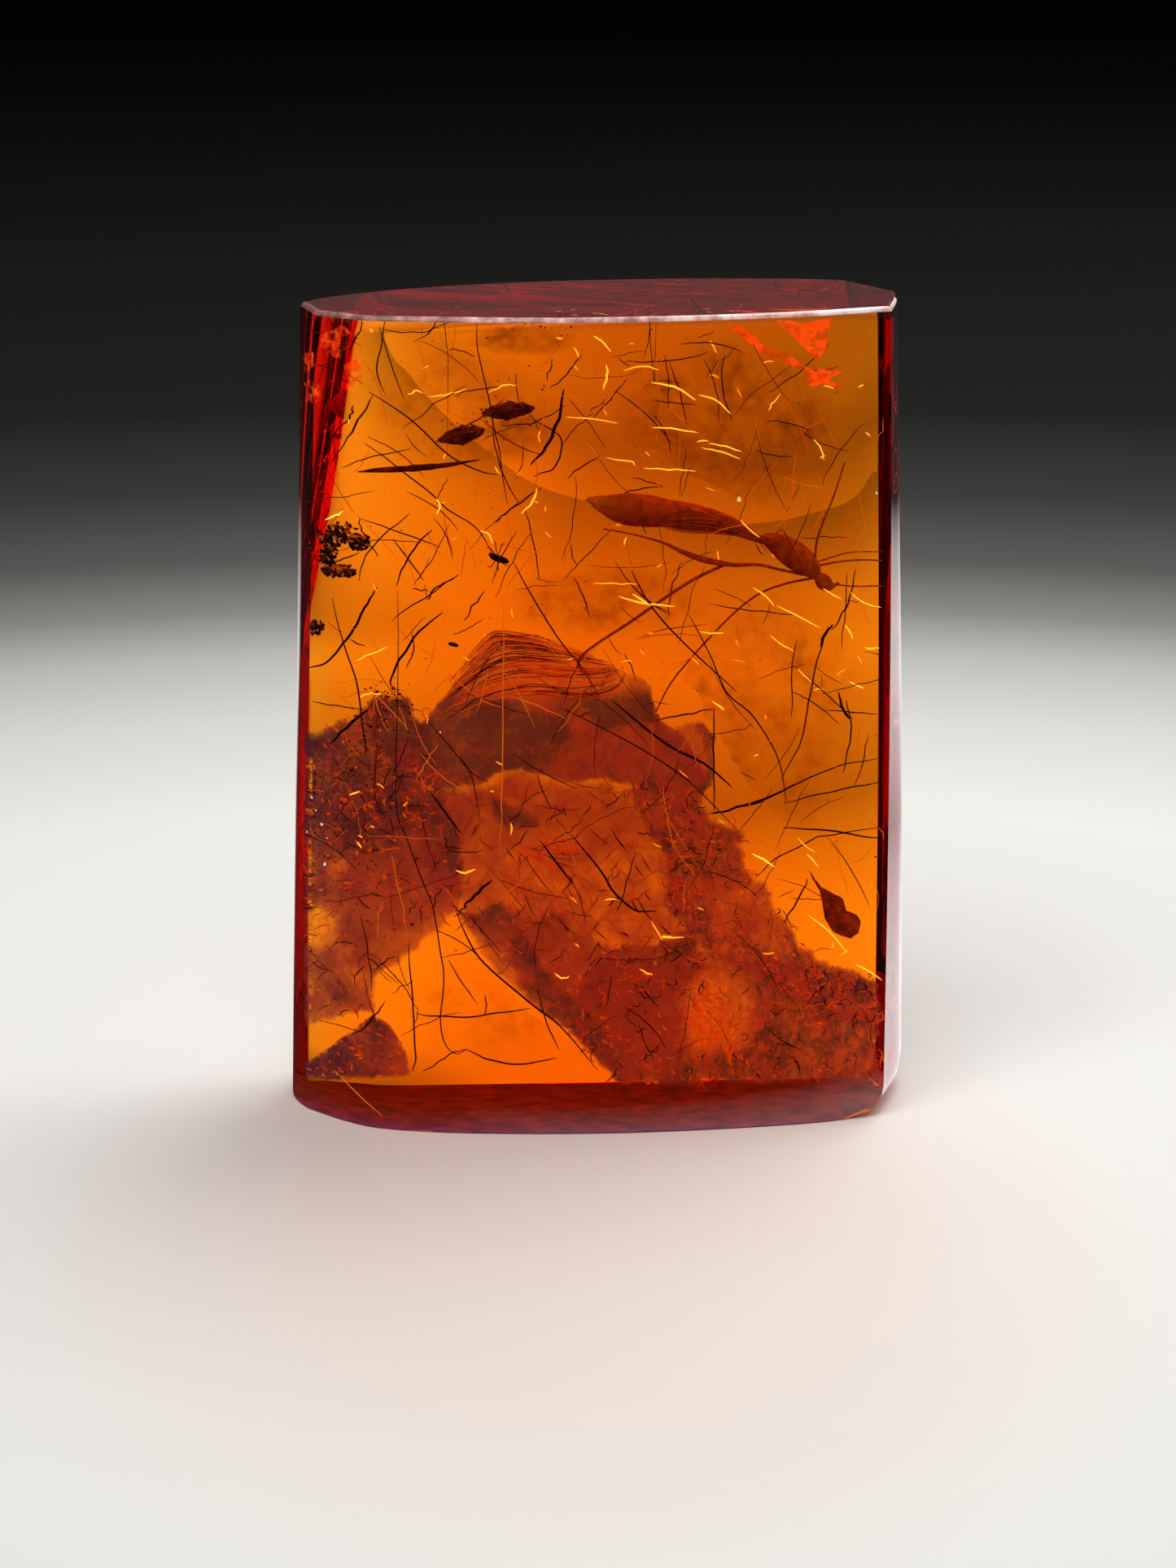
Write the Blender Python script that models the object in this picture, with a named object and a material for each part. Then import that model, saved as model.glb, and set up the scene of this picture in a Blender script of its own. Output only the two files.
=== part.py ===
"""A crane fly in a polished upright block of amber, 35 mm tall.

The block stands on +Z, its broad polished face looks along -Y and its thin edge is at -X. It is parted in two
on an upright plane near mid-depth, and each thing sealed in the amber lies in a shallow recess on that plane.
Places in the amber are (along, height, depth): along runs to the right on the parting plane, and depth is
measured from the plane, negative towards the front face. Sizes are in millimetres, and add_object makes them
metres.
"""

import math

import bmesh
import bpy
from mathutils import Vector, noise

MM = 0.001

HEIGHT = 35.0
BEVEL_TOP = 0.3
BEVEL_BOTTOM = 0.25
CORNER_RADIUS = 1.4
CORNER_START_X = 9.0
BULGE = 0.12

# The plan of the block at its foot and at its top, seen from above: front face, right edge, back face.
FOOT_FRONT = ((-12.6, -2.2), (-10.9, -4.0), (-9.2, -5.1), (-6.0, -5.72), (-1.2, -5.85), (3.4, -5.45),
              (8.2, -4.55), (12.25, -3.4))
FOOT_RIGHT = ((12.25, -3.4), (13.05, -0.2), (13.35, 2.2))
FOOT_BACK = ((13.35, 2.2), (12.3, 3.95), (11.3, 5.45), (10.95, 5.75), (9.0, 5.9), (4.0, 6.1), (-3.0, 5.75),
             (-8.8, 4.65), (-12.1, 3.3), (-13.3, 1.3))
TOP_FRONT = ((-11.75, -3.5), (-9.8, -4.95), (-7.8, -5.35), (-5.0, -5.6), (-1.5, -5.75), (3.4, -5.15),
             (8.0, -4.1), (12.2, -2.4))
TOP_RIGHT = ((12.2, -2.4), (12.55, 0.2), (12.65, 2.2))
TOP_BACK = ((12.65, 2.2), (11.7, 3.8), (10.8, 5.35), (10.4, 5.65), (8.6, 5.95), (3.6, 6.05), (-3.0, 5.05),
            (-8.5, 2.8), (-11.6, 0.4), (-12.5, -1.0))
FRONT_STEPS = 18
RIGHT_STEPS = 4
BACK_STEPS = 27
LEFT_STEPS = 3
LEFT_BOW = 0.35
# The back's left side is upright up to here, and then a slanted facet runs to the narrow end of the top.
FACET_START = 20.0

# The parting plane follows the wedge shape of the plan.
PARTING_ANGLE = math.radians(6.0)
PARTING_Y = -0.8
SEAM = 0.3
RECESS_OVERCUT = 0.4

# Recesses: an outline on the parting plane and how far the recess reaches from it.
FLY_RECESS = ((-1.6, 27.4), (0.5, 28.1), (4.2, 27.7), (8.2, 26.4), (9.0, 29.1), (10.5, 29.2), (11.6, 25.6),
              (11.6, 22.2), (7.6, 22.0), (3.1, 17.1), (-1.1, 17.4), (-2.0, 20.2), (0.5, 22.6), (2.0, 23.7),
              (-1.2, 25.0))
FLY_RECESS_DEPTH = -2.7
FILM_RECESS_DEPTH = 1.5
FILM_RECESS_MARGIN = 0.3
LEAF_RECESS_DEPTH = -1.7
SPLINTER_RECESS_DEPTH = -1.7
HUSK_RECESS_DEPTH = -1.75
SOIL_RECESS_DEPTH = -1.15

# The crane fly: stations along its body as (along, height, half width, half depth).
FLY_DEPTH = -1.4
ABDOMEN = ((-0.8, 27.02, 0.03, 0.03), (-0.41, 26.88, 0.14, 0.12), (0.28, 26.68, 0.42, 0.34),
           (0.96, 26.58, 0.62, 0.5), (1.85, 26.4, 0.6, 0.5), (2.83, 26.3, 0.5, 0.44), (4.0, 26.08, 0.42, 0.38),
           (5.18, 25.75, 0.32, 0.3), (6.16, 25.3, 0.2, 0.2), (6.94, 24.85, 0.16, 0.16))
THORAX = ((6.31, 25.25, 0.12, 0.12), (6.65, 25.08, 0.36, 0.34), (7.24, 24.78, 0.62, 0.5),
          (7.82, 24.38, 0.64, 0.54), (8.36, 23.98, 0.5, 0.44), (8.75, 23.64, 0.22, 0.22),
          (9.0, 23.42, 0.1, 0.1))
HEAD = ((8.8, 23.6, 0.06, 0.06), (8.92, 23.5, 0.24, 0.26), (9.1, 23.32, 0.34, 0.36),
        (9.27, 23.14, 0.24, 0.26), (9.39, 23.02, 0.06, 0.06))
ABDOMEN_RINGS = 0.035
BODY_SIDES = 12
WING = ((7.24, 24.95), (6.06, 25.75), (4.59, 26.42), (3.02, 26.86), (1.85, 26.95), (0.96, 26.66), (1.36, 26.2),
        (2.83, 25.84), (4.59, 25.6), (6.16, 25.2))
WING_THICKNESS = 0.14
WING_SPREAD = 0.42
WING_ROOT_DEPTH = 0.2

# Legs and feelers: points as (along, height, depth) and the radius at each point.
LEG_FEMUR = ((8.02, 23.8, -1.4), (6.26, 24.1, -1.7), (4.79, 24.15, -1.85), (3.61, 24.55, -1.9),
             (2.63, 24.98, -1.9), (1.26, 25.35, -2.0), (-0.02, 25.62, -2.05))
LEG_FEMUR_RADII = (0.14, 0.11, 0.13, 0.17, 0.13, 0.08, 0.06)
LEG_LONG = ((4.93, 24.15, -1.85), (3.32, 23.3, -1.8), (1.16, 21.8, -1.7), (-1.09, 20.2, -1.6),
            (-0.7, 19.3, -1.6), (-0.31, 18.4, -1.6))
LEG_LONG_RADII = (0.1, 0.1, 0.09, 0.08, 0.065, 0.055)
LEG_HIND = ((8.61, 23.75, -1.4), (7.43, 23.3, -1.2), (6.16, 22.7, -1.1), (4.69, 21.4, -1.05), (2.83, 19.3, -1.0),
            (2.04, 17.8, -1.0))
LEG_HIND_RADII = (0.12, 0.1, 0.09, 0.08, 0.065, 0.05)
LEG_FORE = ((8.61, 24.15, -1.4), (9.39, 24.2, -1.5), (11.2, 24.2, -1.6))
LEG_MIDDLE = ((8.46, 24.1, -1.4), (9.2, 24.5, -1.1), (11.2, 24.62, -1.0))
LEG_LOWER = ((8.51, 23.7, -1.4), (9.78, 23.12, -1.2), (11.2, 23.1, -1.1))
SHORT_LEG_RADII = (0.11, 0.08, 0.055)
FEELER = ((8.51, 24.1, -1.4), (8.9, 25.6, -1.5), (9.44, 27.0, -1.6), (9.83, 28.4, -1.6))
FEELER_RADII = (0.1, 0.07, 0.06, 0.045)
LEG_SIDES = 6

# The bark film: its outline with the arched top and the opening below, as (along, height).
FILM = ((-11.0, 16.1), (-10.2, 17.7), (-8.9, 18.7), (-7.7, 18.3), (-6.9, 18.7), (-5.7, 20.2), (-4.7, 20.9),
        (-3.0, 20.5), (-1.2, 20.5), (0.6, 19.4), (2.2, 18.7), (2.7, 17.0), (4.0, 17.2), (4.9, 16.4),
        (4.9, 14.6), (3.9, 13.6), (5.8, 11.2), (7.2, 10.3), (8.8, 9.0), (10.3, 7.6), (11.5, 6.4), (11.2, 4.7),
        (11.55, 3.1), (11.2, 1.5), (8.6, 1.2), (6.2, 1.5), (4.0, 1.2), (1.6, 1.4), (-1.2, 3.7), (-3.3, 6.3),
        (-6.1, 8.5), (-8.3, 6.4), (-9.2, 4.6), (-8.2, 1.9), (-11.2, 1.6), (-11.5, 4.2), (-11.1, 6.6),
        (-11.5, 9.6), (-11.1, 12.6), (-11.4, 14.5))
FILM_DEPTH = 0.9
FILM_THICKNESS = 0.36
FILM_WAVE = 0.22
FILM_CELL = 1.1

# Small inclusions.
LEAF = ((8.6, 10.75), (9.2, 10.25), (9.65, 9.6), (10.25, 8.95), (10.9, 8.35), (10.75, 7.1), (10.1, 6.6),
        (9.5, 7.35), (9.2, 8.5), (8.85, 9.75))
LEAF_RECESS = ((8.2, 11.3), (11.3, 8.9), (11.2, 6.8), (10.1, 6.1), (9.0, 7.1), (8.2, 10.0))
LEAF_DEPTH = -1.1
LEAF_THICKNESS = 0.22
LEAF_CURL = 0.14
SPLINTER_ENDS = ((-10.05, 28.3), (-5.1, 28.75))
SPLINTER_RECESS = ((-10.5, 27.7), (-4.8, 28.3), (-4.8, 29.15), (-10.5, 28.7))
SPLINTER_SAG = 0.12
SPLINTER_RADIUS = 0.16
SPLINTER_DEPTH = -1.1
HUSK_LEFT = (-5.6, 29.72)
HUSK_LEFT_SIZE = (0.95, 0.36, 0.4)
HUSK_RIGHT = (-3.75, 30.75)
HUSK_RIGHT_SIZE = (1.1, 0.34, 0.4)
HUSK_TILT = math.radians(14.0)
HUSK_DEPTH = -1.05
SOIL_CLOT = (-10.9, 25.0)
SOIL_CLOT_SIZE = (0.5, 1.0, 0.3)
SOIL_CRUMB = (-11.05, 21.75)
SOIL_CRUMB_SIZE = (0.42, 0.3, 0.26)
SOIL_DEPTH = -0.65
RECESS_MARGIN = 0.35
HUSK_ROUGHNESS = 0.16
SOIL_ROUGHNESS = 0.55

AMBER = (0.90, 0.33, 0.04)
FLY_BROWN = (0.17, 0.03, 0.012)
FILM_RED = (0.19, 0.03, 0.02)
LEAF_BROWN = (0.10, 0.02, 0.01)
SPLINTER_BROWN = (0.08, 0.02, 0.008)
HUSK_BROWN = (0.09, 0.022, 0.01)
SOIL_BLACK = (0.03, 0.022, 0.018)


def clear_scene():
    """Empty the file of whatever it opened with."""
    for obj in list(bpy.data.objects):
        bpy.data.objects.remove(obj, do_unlink=True)


def make_material(name, colour, roughness, alpha=1.0, transmission=0.0):
    """One Principled material in plain values."""
    material = bpy.data.materials.new(name)
    material.use_nodes = True
    shader = material.node_tree.nodes["Principled BSDF"]
    shader.inputs["Base Color"].default_value = (*colour, 1.0)
    shader.inputs["Roughness"].default_value = roughness
    shader.inputs["Alpha"].default_value = alpha
    shader.inputs["Transmission Weight"].default_value = transmission
    shader.inputs["IOR"].default_value = 1.54
    material.diffuse_color = (*colour, alpha)
    return material


def add_object(name, bm, material=None):
    """Turn a bmesh given in millimetres into a named object, smooth where it is round."""
    bmesh.ops.scale(bm, vec=(MM, MM, MM), verts=bm.verts)
    bmesh.ops.recalc_face_normals(bm, faces=bm.faces)
    mesh = bpy.data.meshes.new(name)
    bm.to_mesh(mesh)
    bm.free()
    mesh.shade_smooth()
    mesh.set_sharp_from_angle(angle=math.radians(35.0))
    obj = bpy.data.objects.new(name, mesh)
    bpy.context.scene.collection.objects.link(obj)
    if material:
        mesh.materials.append(material)
    return obj


def as_tool(obj):
    """Mark an object as a cutter or a joined shape, which isn't a piece itself."""
    obj.hide_render = True
    obj.display_type = "WIRE"
    return obj


def combine(target, tool, operation):
    """Cut a tool from a target, or join it on."""
    modifier = target.modifiers.new(f"{operation.lower()} {tool.name}", "BOOLEAN")
    modifier.operation = operation
    modifier.solver = "EXACT"
    modifier.object = as_tool(tool)


def in_amber(along, height, depth):
    """The point at a place in the amber."""
    x = along * math.cos(PARTING_ANGLE) - depth * math.sin(PARTING_ANGLE)
    y = PARTING_Y + along * math.sin(PARTING_ANGLE) + depth * math.cos(PARTING_ANGLE)
    return Vector((x, y, height))


def spline(points, steps):
    """Points along a smooth curve through the given ones, without the last."""
    first = [2 * a - b for a, b in zip(points[0], points[1])]
    last = [2 * a - b for a, b in zip(points[-1], points[-2])]
    padded = [Vector(p) for p in (first, *points, last)]
    spans = len(points) - 1
    curve = []
    for step in range(steps):
        place = spans * step / steps
        i = min(int(place), spans - 1)
        t = place - i
        a, b, c, d = padded[i:i + 4]
        curve.append(0.5 * (2 * b + (c - a) * t + (2 * a - 5 * b + 4 * c - d) * t ** 2
                            + (3 * b - a - 3 * c + d) * t ** 3))
    return curve


def facet_share(height):
    """How far the slanted facet of the back has come in at a height, from 0 to 1."""
    return max(0.0, (height - FACET_START) / (HEIGHT - FACET_START))


def plan(height):
    """The closed outline of the block at a height, seen from above, before its lower right corner."""
    rise = height / HEIGHT
    facet = facet_share(height)
    foot = spline(FOOT_FRONT, FRONT_STEPS) + spline(FOOT_RIGHT, RIGHT_STEPS)
    top = spline(TOP_FRONT, FRONT_STEPS) + spline(TOP_RIGHT, RIGHT_STEPS)
    edge = [low.lerp(high, rise) for low, high in zip(foot, top)]
    foot = spline(FOOT_BACK, BACK_STEPS) + [Vector(FOOT_BACK[-1])]
    top = spline(TOP_BACK, BACK_STEPS) + [Vector(TOP_BACK[-1])]
    for low, high in zip(foot, top):
        edge.append(Vector((low.lerp(high, rise).x, low.lerp(high, facet).y)))
    start, end = edge[-1], edge[0]
    for step in range(1, LEFT_STEPS):
        share = step / LEFT_STEPS
        bow = LEFT_BOW * (1.0 - rise) * math.sin(math.pi * share)
        edge.append(start.lerp(end, share) - Vector((bow, 0.0)))
    return edge


def corner_inset(x, height):
    """How far the rounded lower right corner pulls the right edge in."""
    if height >= CORNER_RADIUS or x <= CORNER_START_X:
        return 0.0
    drop = CORNER_RADIUS - height
    inset = CORNER_RADIUS - math.sqrt(CORNER_RADIUS ** 2 - drop ** 2)
    share = min(1.0, (x - CORNER_START_X) / (FOOT_RIGHT[0][0] - CORNER_START_X))
    return inset * share ** 2


def block_ring(height, bevel):
    """The block's outline at a height, drawn in by the bevel."""
    half_width = FOOT_RIGHT[-1][0]
    half_depth = max(y for _, y in FOOT_BACK)
    swell = 1.0 + BULGE * math.sin(math.pi * height / HEIGHT) / half_width
    ring = []
    for point in plan(height):
        x = point.x * swell * (1.0 - bevel / half_width)
        y = point.y * swell * (1.0 - bevel / half_depth)
        ring.append(Vector((x - corner_inset(x, height), y, height)))
    return ring


def loft(bm, rings):
    """Join rings of equal count with quads and close both ends."""
    rows = [[bm.verts.new(p) for p in ring] for ring in rings]
    count = len(rows[0])
    for low, high in zip(rows, rows[1:]):
        for i in range(count):
            j = (i + 1) % count
            bm.faces.new((low[i], low[j], high[j], high[i]))
    bm.faces.new(list(reversed(rows[0])))
    bm.faces.new(rows[-1])


def block_levels():
    """Heights of the block's rings with the bevel at each."""
    levels = [(0.0, BEVEL_BOTTOM), (BEVEL_BOTTOM, 0.0), (0.45 * CORNER_RADIUS, 0.0), (CORNER_RADIUS, 0.0)]
    levels += [(height, 0.0) for height in (FACET_START / 2, FACET_START, (FACET_START + HEIGHT) / 2)]
    levels += [(HEIGHT - BEVEL_TOP, 0.0), (HEIGHT, BEVEL_TOP)]
    return levels


def centring():
    """The shift that puts the block's middle over the origin."""
    points = [p for height, bevel in block_levels() for p in block_ring(height, bevel)]
    x = (min(p.x for p in points) + max(p.x for p in points)) / 2
    y = (min(p.y for p in points) + max(p.y for p in points)) / 2
    return Vector((-x, -y, 0.0))


def amber_half(name, side, material):
    """The half of the block in front of the parting plane (side -1) or behind it (side 1)."""
    bm = bmesh.new()
    loft(bm, [block_ring(height, bevel) for height, bevel in block_levels()])
    normal = in_amber(0, 0, 1) - in_amber(0, 0, 0)
    cut = bmesh.ops.bisect_plane(
        bm,
        geom=bm.verts[:] + bm.edges[:] + bm.faces[:],
        dist=0.0001,
        plane_co=in_amber(0, 0, side * SEAM / 2),
        plane_no=normal * -side,
        clear_outer=True,
    )
    rim = [e for e in cut["geom_cut"] if isinstance(e, bmesh.types.BMEdge)]
    bmesh.ops.edgeloop_fill(bm, edges=rim)
    return add_object(name, bm, material)


def slab(name, outline, near, far, material=None):
    """A flat piece with an outline on the parting plane, between two depths."""
    bm = bmesh.new()
    loft(bm, [[in_amber(a, h, depth) for a, h in outline] for depth in (near, far)])
    return add_object(name, bm, material)


def grown(outline, margin):
    """The outline moved outwards by a margin, on whichever way round it runs."""
    points = [Vector(p) for p in outline]
    turn = sum(a.x * b.y - b.x * a.y for a, b in zip(points, points[1:] + points[:1]))
    side = margin if turn > 0 else -margin
    moved = []
    for i, point in enumerate(points):
        before = (point - points[i - 1]).normalized()
        after = (points[(i + 1) % len(points)] - point).normalized()
        normal = Vector((before.y + after.y, -before.x - after.x)).normalized()
        stretch = max(0.5, normal.dot(Vector((after.y, -after.x))))
        moved.append(tuple(point + normal * side / stretch))
    return moved


def box_outline(centre, size):
    """Four corners round a small inclusion, with the recess margin."""
    a, h = centre
    wide, tall = size[0] + RECESS_MARGIN, size[1] + RECESS_MARGIN
    return ((a - wide, h - tall), (a + wide, h - tall), (a + wide, h + tall), (a - wide, h + tall))


def cut_recess(half, name, outline, depth):
    """Sink a recess from the parting plane into one half."""
    near = -RECESS_OVERCUT if depth > 0 else RECESS_OVERCUT
    combine(half, slab(name, outline, near, depth), "DIFFERENCE")


def tube_frame(points, i):
    """Two directions across a path at one of its points."""
    ahead = points[min(i + 1, len(points) - 1)] - points[max(i - 1, 0)]
    ahead.normalize()
    out = Vector((-math.sin(PARTING_ANGLE), math.cos(PARTING_ANGLE), 0.0))
    side = ahead.cross(out).normalized()
    return side, side.cross(ahead).normalized()


def tube(name, places, radii, sides, material=None):
    """A closed round tube along places in the amber; a radius may be a (width, depth) pair."""
    points = [in_amber(*place) for place in places]
    rings = []
    for i, point in enumerate(points):
        side, out = tube_frame(points, i)
        wide, deep = radii[i] if isinstance(radii[i], tuple) else (radii[i], radii[i])
        turns = [2 * math.pi * k / sides for k in range(sides)]
        rings.append([point + side * wide * math.cos(t) + out * deep * math.sin(t) for t in turns])
    bm = bmesh.new()
    loft(bm, rings)
    return add_object(name, bm, material)


def body_section(name, stations, rings=0.0, material=None):
    """A part of the insect's body, with ring joints if it has them."""
    places = []
    radii = []
    for i, (a, h, wide, deep) in enumerate(stations):
        places.append((a, h, FLY_DEPTH))
        radii.append((wide, deep))
        if rings and 0 < i < len(stations) - 2:
            b = stations[i + 1]
            middle = [(p + q) / 2 for p, q in zip((a, h, wide, deep), b)]
            places.append((middle[0], middle[1], FLY_DEPTH))
            radii.append((middle[2] - rings, middle[3] - rings))
    return tube(name, places, radii, BODY_SIDES, material)


def wing(name, side):
    """A wing folded back along the abdomen, leaning out towards its tip."""
    root = WING[0][0]
    reach = root - min(a for a, _ in WING)
    rings = []
    for face in (-0.5, 0.5):
        ring = []
        for a, h in WING:
            lean = WING_ROOT_DEPTH + WING_SPREAD * math.sin(math.pi / 2 * (root - a) / reach)
            ring.append(in_amber(a, h, FLY_DEPTH + side * lean + face * WING_THICKNESS))
        rings.append(ring)
    bm = bmesh.new()
    loft(bm, rings)
    bmesh.ops.triangulate(bm, faces=bm.faces[:])
    return add_object(name, bm)


def crane_fly(material):
    """The specimen: body, folded wings, legs and a long feeler, all one piece."""
    fly = body_section("crane_fly", THORAX, material=material)
    combine(fly, body_section("abdomen", ABDOMEN, ABDOMEN_RINGS), "UNION")
    combine(fly, body_section("head", HEAD), "UNION")
    combine(fly, wing("near wing", -1), "UNION")
    combine(fly, wing("far wing", 1), "UNION")
    limbs = (
        ("thick leg", LEG_FEMUR, LEG_FEMUR_RADII),
        ("long leg", LEG_LONG, LEG_LONG_RADII),
        ("hind leg", LEG_HIND, LEG_HIND_RADII),
        ("fore leg", LEG_FORE, SHORT_LEG_RADII),
        ("middle leg", LEG_MIDDLE, SHORT_LEG_RADII),
        ("lower leg", LEG_LOWER, SHORT_LEG_RADII),
        ("feeler", FEELER, FEELER_RADII),
    )
    for name, places, radii in limbs:
        combine(fly, tube(name, places, radii, LEG_SIDES), "UNION")
    return fly


def bark_film(material):
    """A thin waved plate, trimmed to the outline of the scrap."""
    low_a, high_a = min(a for a, _ in FILM) - 1, max(a for a, _ in FILM) + 1
    low_h, high_h = min(h for _, h in FILM) - 1, max(h for _, h in FILM) + 1
    columns = round((high_a - low_a) / FILM_CELL)
    rows = round((high_h - low_h) / FILM_CELL)
    bm = bmesh.new()
    sheets = []
    for face in (-0.5, 0.5):
        sheet = []
        for r in range(rows + 1):
            row = []
            for c in range(columns + 1):
                a = low_a + (high_a - low_a) * c / columns
                h = low_h + (high_h - low_h) * r / rows
                wave = FILM_WAVE * noise.noise(Vector((a * 0.45, h * 0.45, 3.7)))
                row.append(bm.verts.new(in_amber(a, h, FILM_DEPTH + wave + face * FILM_THICKNESS)))
            sheet.append(row)
        sheets.append(sheet)
    for sheet in sheets:
        for r in range(rows):
            for c in range(columns):
                bm.faces.new((sheet[r][c], sheet[r][c + 1], sheet[r + 1][c + 1], sheet[r + 1][c]))
    rims = []
    for sheet in sheets:
        rim = sheet[0][:] + [row[-1] for row in sheet[1:]]
        rim += list(reversed(sheet[-1][:-1])) + [row[0] for row in reversed(sheet[1:-1])]
        rims.append(rim)
    for i in range(len(rims[0])):
        j = (i + 1) % len(rims[0])
        bm.faces.new((rims[0][i], rims[0][j], rims[1][j], rims[1][i]))
    film = add_object("bark_film", bm, material)
    combine(film, slab("film outline", FILM, 0.0, 2 * FILM_DEPTH), "INTERSECT")
    return film


def leaf_scrap(material):
    """A torn wedge of leaf, curled a little along its length."""
    rings = []
    middle = sum(h for _, h in LEAF) / len(LEAF)
    for face in (-0.5, 0.5):
        ring = [in_amber(a, h, LEAF_DEPTH + LEAF_CURL * ((h - middle) / 2) ** 2 * 0.5 + face * LEAF_THICKNESS)
                for a, h in LEAF]
        rings.append(ring)
    bm = bmesh.new()
    loft(bm, rings)
    bmesh.ops.triangulate(bm, faces=bm.faces[:])
    return add_object("leaf_scrap", bm, material)


def splinter(material):
    """A needle, thickest a third of the way along and sagging a little."""
    (a0, h0), (a1, h1) = SPLINTER_ENDS
    places = []
    radii = []
    for step in range(9):
        t = step / 8
        sag = SPLINTER_SAG * math.sin(math.pi * t)
        places.append((a0 + (a1 - a0) * t, h0 + (h1 - h0) * t - sag, SPLINTER_DEPTH))
        radii.append(max(0.03, SPLINTER_RADIUS * math.sin(math.pi * (t + 0.08) ** 0.7 * 0.9)))
    return tube("splinter", places, radii, 8, material)


def lump(name, centre, size, depth, tilt, roughness, seed, material):
    """A small rough body with half sizes (along, height, depth); one that is tilted has pointed ends."""
    bm = bmesh.new()
    bmesh.ops.create_icosphere(bm, subdivisions=3, radius=1.0)
    for vert in bm.verts:
        p = vert.co.copy()
        rough = 1.0 + roughness * noise.noise(p * 2.3 + Vector((seed, 0.0, 0.0)))
        narrow = 1.0
        if tilt and abs(p.x) < 1.0:
            narrow = ((1.0 - abs(p.x)) / (1.0001 - p.x ** 2)) ** 0.5
        a = p.x * size[0] * (1.0 if tilt else rough)
        h = p.z * size[1] * rough * narrow
        turned_a = a * math.cos(tilt) - h * math.sin(tilt)
        turned_h = a * math.sin(tilt) + h * math.cos(tilt)
        vert.co = in_amber(centre[0] + turned_a, centre[1] + turned_h, depth + p.y * size[2] * rough * narrow)
    return add_object(name, bm, material)


def main():
    clear_scene()
    amber = make_material("amber", AMBER, 0.02, transmission=1.0)
    front = amber_half("amber_front", -1, amber)
    back = amber_half("amber_back", 1, amber)
    cut_recess(front, "fly recess", FLY_RECESS, FLY_RECESS_DEPTH)
    cut_recess(back, "film recess", grown(FILM, FILM_RECESS_MARGIN), FILM_RECESS_DEPTH)
    cut_recess(front, "leaf recess", LEAF_RECESS, LEAF_RECESS_DEPTH)
    cut_recess(front, "splinter recess", SPLINTER_RECESS, SPLINTER_RECESS_DEPTH)
    cut_recess(front, "left husk recess", box_outline(HUSK_LEFT, HUSK_LEFT_SIZE), HUSK_RECESS_DEPTH)
    cut_recess(front, "right husk recess", box_outline(HUSK_RIGHT, HUSK_RIGHT_SIZE), HUSK_RECESS_DEPTH)
    cut_recess(front, "clot recess", box_outline(SOIL_CLOT, SOIL_CLOT_SIZE), SOIL_RECESS_DEPTH)
    cut_recess(front, "crumb recess", box_outline(SOIL_CRUMB, SOIL_CRUMB_SIZE), SOIL_RECESS_DEPTH)

    crane_fly(make_material("fly", FLY_BROWN, 0.5))
    bark_film(make_material("bark", FILM_RED, 0.55, alpha=0.8))
    leaf_scrap(make_material("leaf", LEAF_BROWN, 0.6))
    splinter(make_material("wood", SPLINTER_BROWN, 0.6))
    husk = make_material("husk", HUSK_BROWN, 0.6)
    lump("husk_left", HUSK_LEFT, HUSK_LEFT_SIZE, HUSK_DEPTH, HUSK_TILT, HUSK_ROUGHNESS, 1.0, husk)
    lump("husk_right", HUSK_RIGHT, HUSK_RIGHT_SIZE, HUSK_DEPTH, HUSK_TILT / 2, HUSK_ROUGHNESS, 5.0, husk)
    soil = make_material("soil", SOIL_BLACK, 0.8)
    lump("soil_clot", SOIL_CLOT, SOIL_CLOT_SIZE, SOIL_DEPTH, 0.0, SOIL_ROUGHNESS, 9.0, soil)
    lump("soil_crumb", SOIL_CRUMB, SOIL_CRUMB_SIZE, SOIL_DEPTH, 0.0, SOIL_ROUGHNESS, 13.0, soil)

    shift = centring() * MM
    for obj in bpy.data.objects:
        obj.location += shift


main()
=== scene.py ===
"""The looks of an insect in amber: a polished block, the things sealed in it, and the studio round it.

Places in the amber come from sight lines. A point of the photograph, in its 1445 by 1927 pixels, is a line from the
camera, which bends where it enters the amber and ends at a depth behind the front. All sizes are in metres.
"""

import math
import random

import bmesh
import bpy
import numpy as np
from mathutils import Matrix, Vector, geometry, noise
from mathutils.bvhtree import BVHTree


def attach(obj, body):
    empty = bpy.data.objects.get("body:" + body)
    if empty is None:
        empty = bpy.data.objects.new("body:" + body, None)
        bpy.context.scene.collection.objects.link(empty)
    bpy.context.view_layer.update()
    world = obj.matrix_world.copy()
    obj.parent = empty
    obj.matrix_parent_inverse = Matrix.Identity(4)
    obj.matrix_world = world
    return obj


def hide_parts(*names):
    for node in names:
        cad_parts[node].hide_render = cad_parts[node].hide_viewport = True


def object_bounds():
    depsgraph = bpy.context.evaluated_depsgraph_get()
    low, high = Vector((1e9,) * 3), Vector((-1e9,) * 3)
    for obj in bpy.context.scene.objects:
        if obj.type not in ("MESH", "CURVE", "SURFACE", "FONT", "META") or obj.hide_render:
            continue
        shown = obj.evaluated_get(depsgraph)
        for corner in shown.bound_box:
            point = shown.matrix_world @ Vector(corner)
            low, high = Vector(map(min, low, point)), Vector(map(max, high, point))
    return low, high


bl_info = {
    "name": "Insect in amber",
    "version": (1, 0, 0),
    "blender": (4, 5, 0),
    "location": "3D View > Sidebar > Amber",
    "description": "Makes a polished block of amber with a crane fly and plant scraps sealed in it",
    "category": "Object",
}

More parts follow.
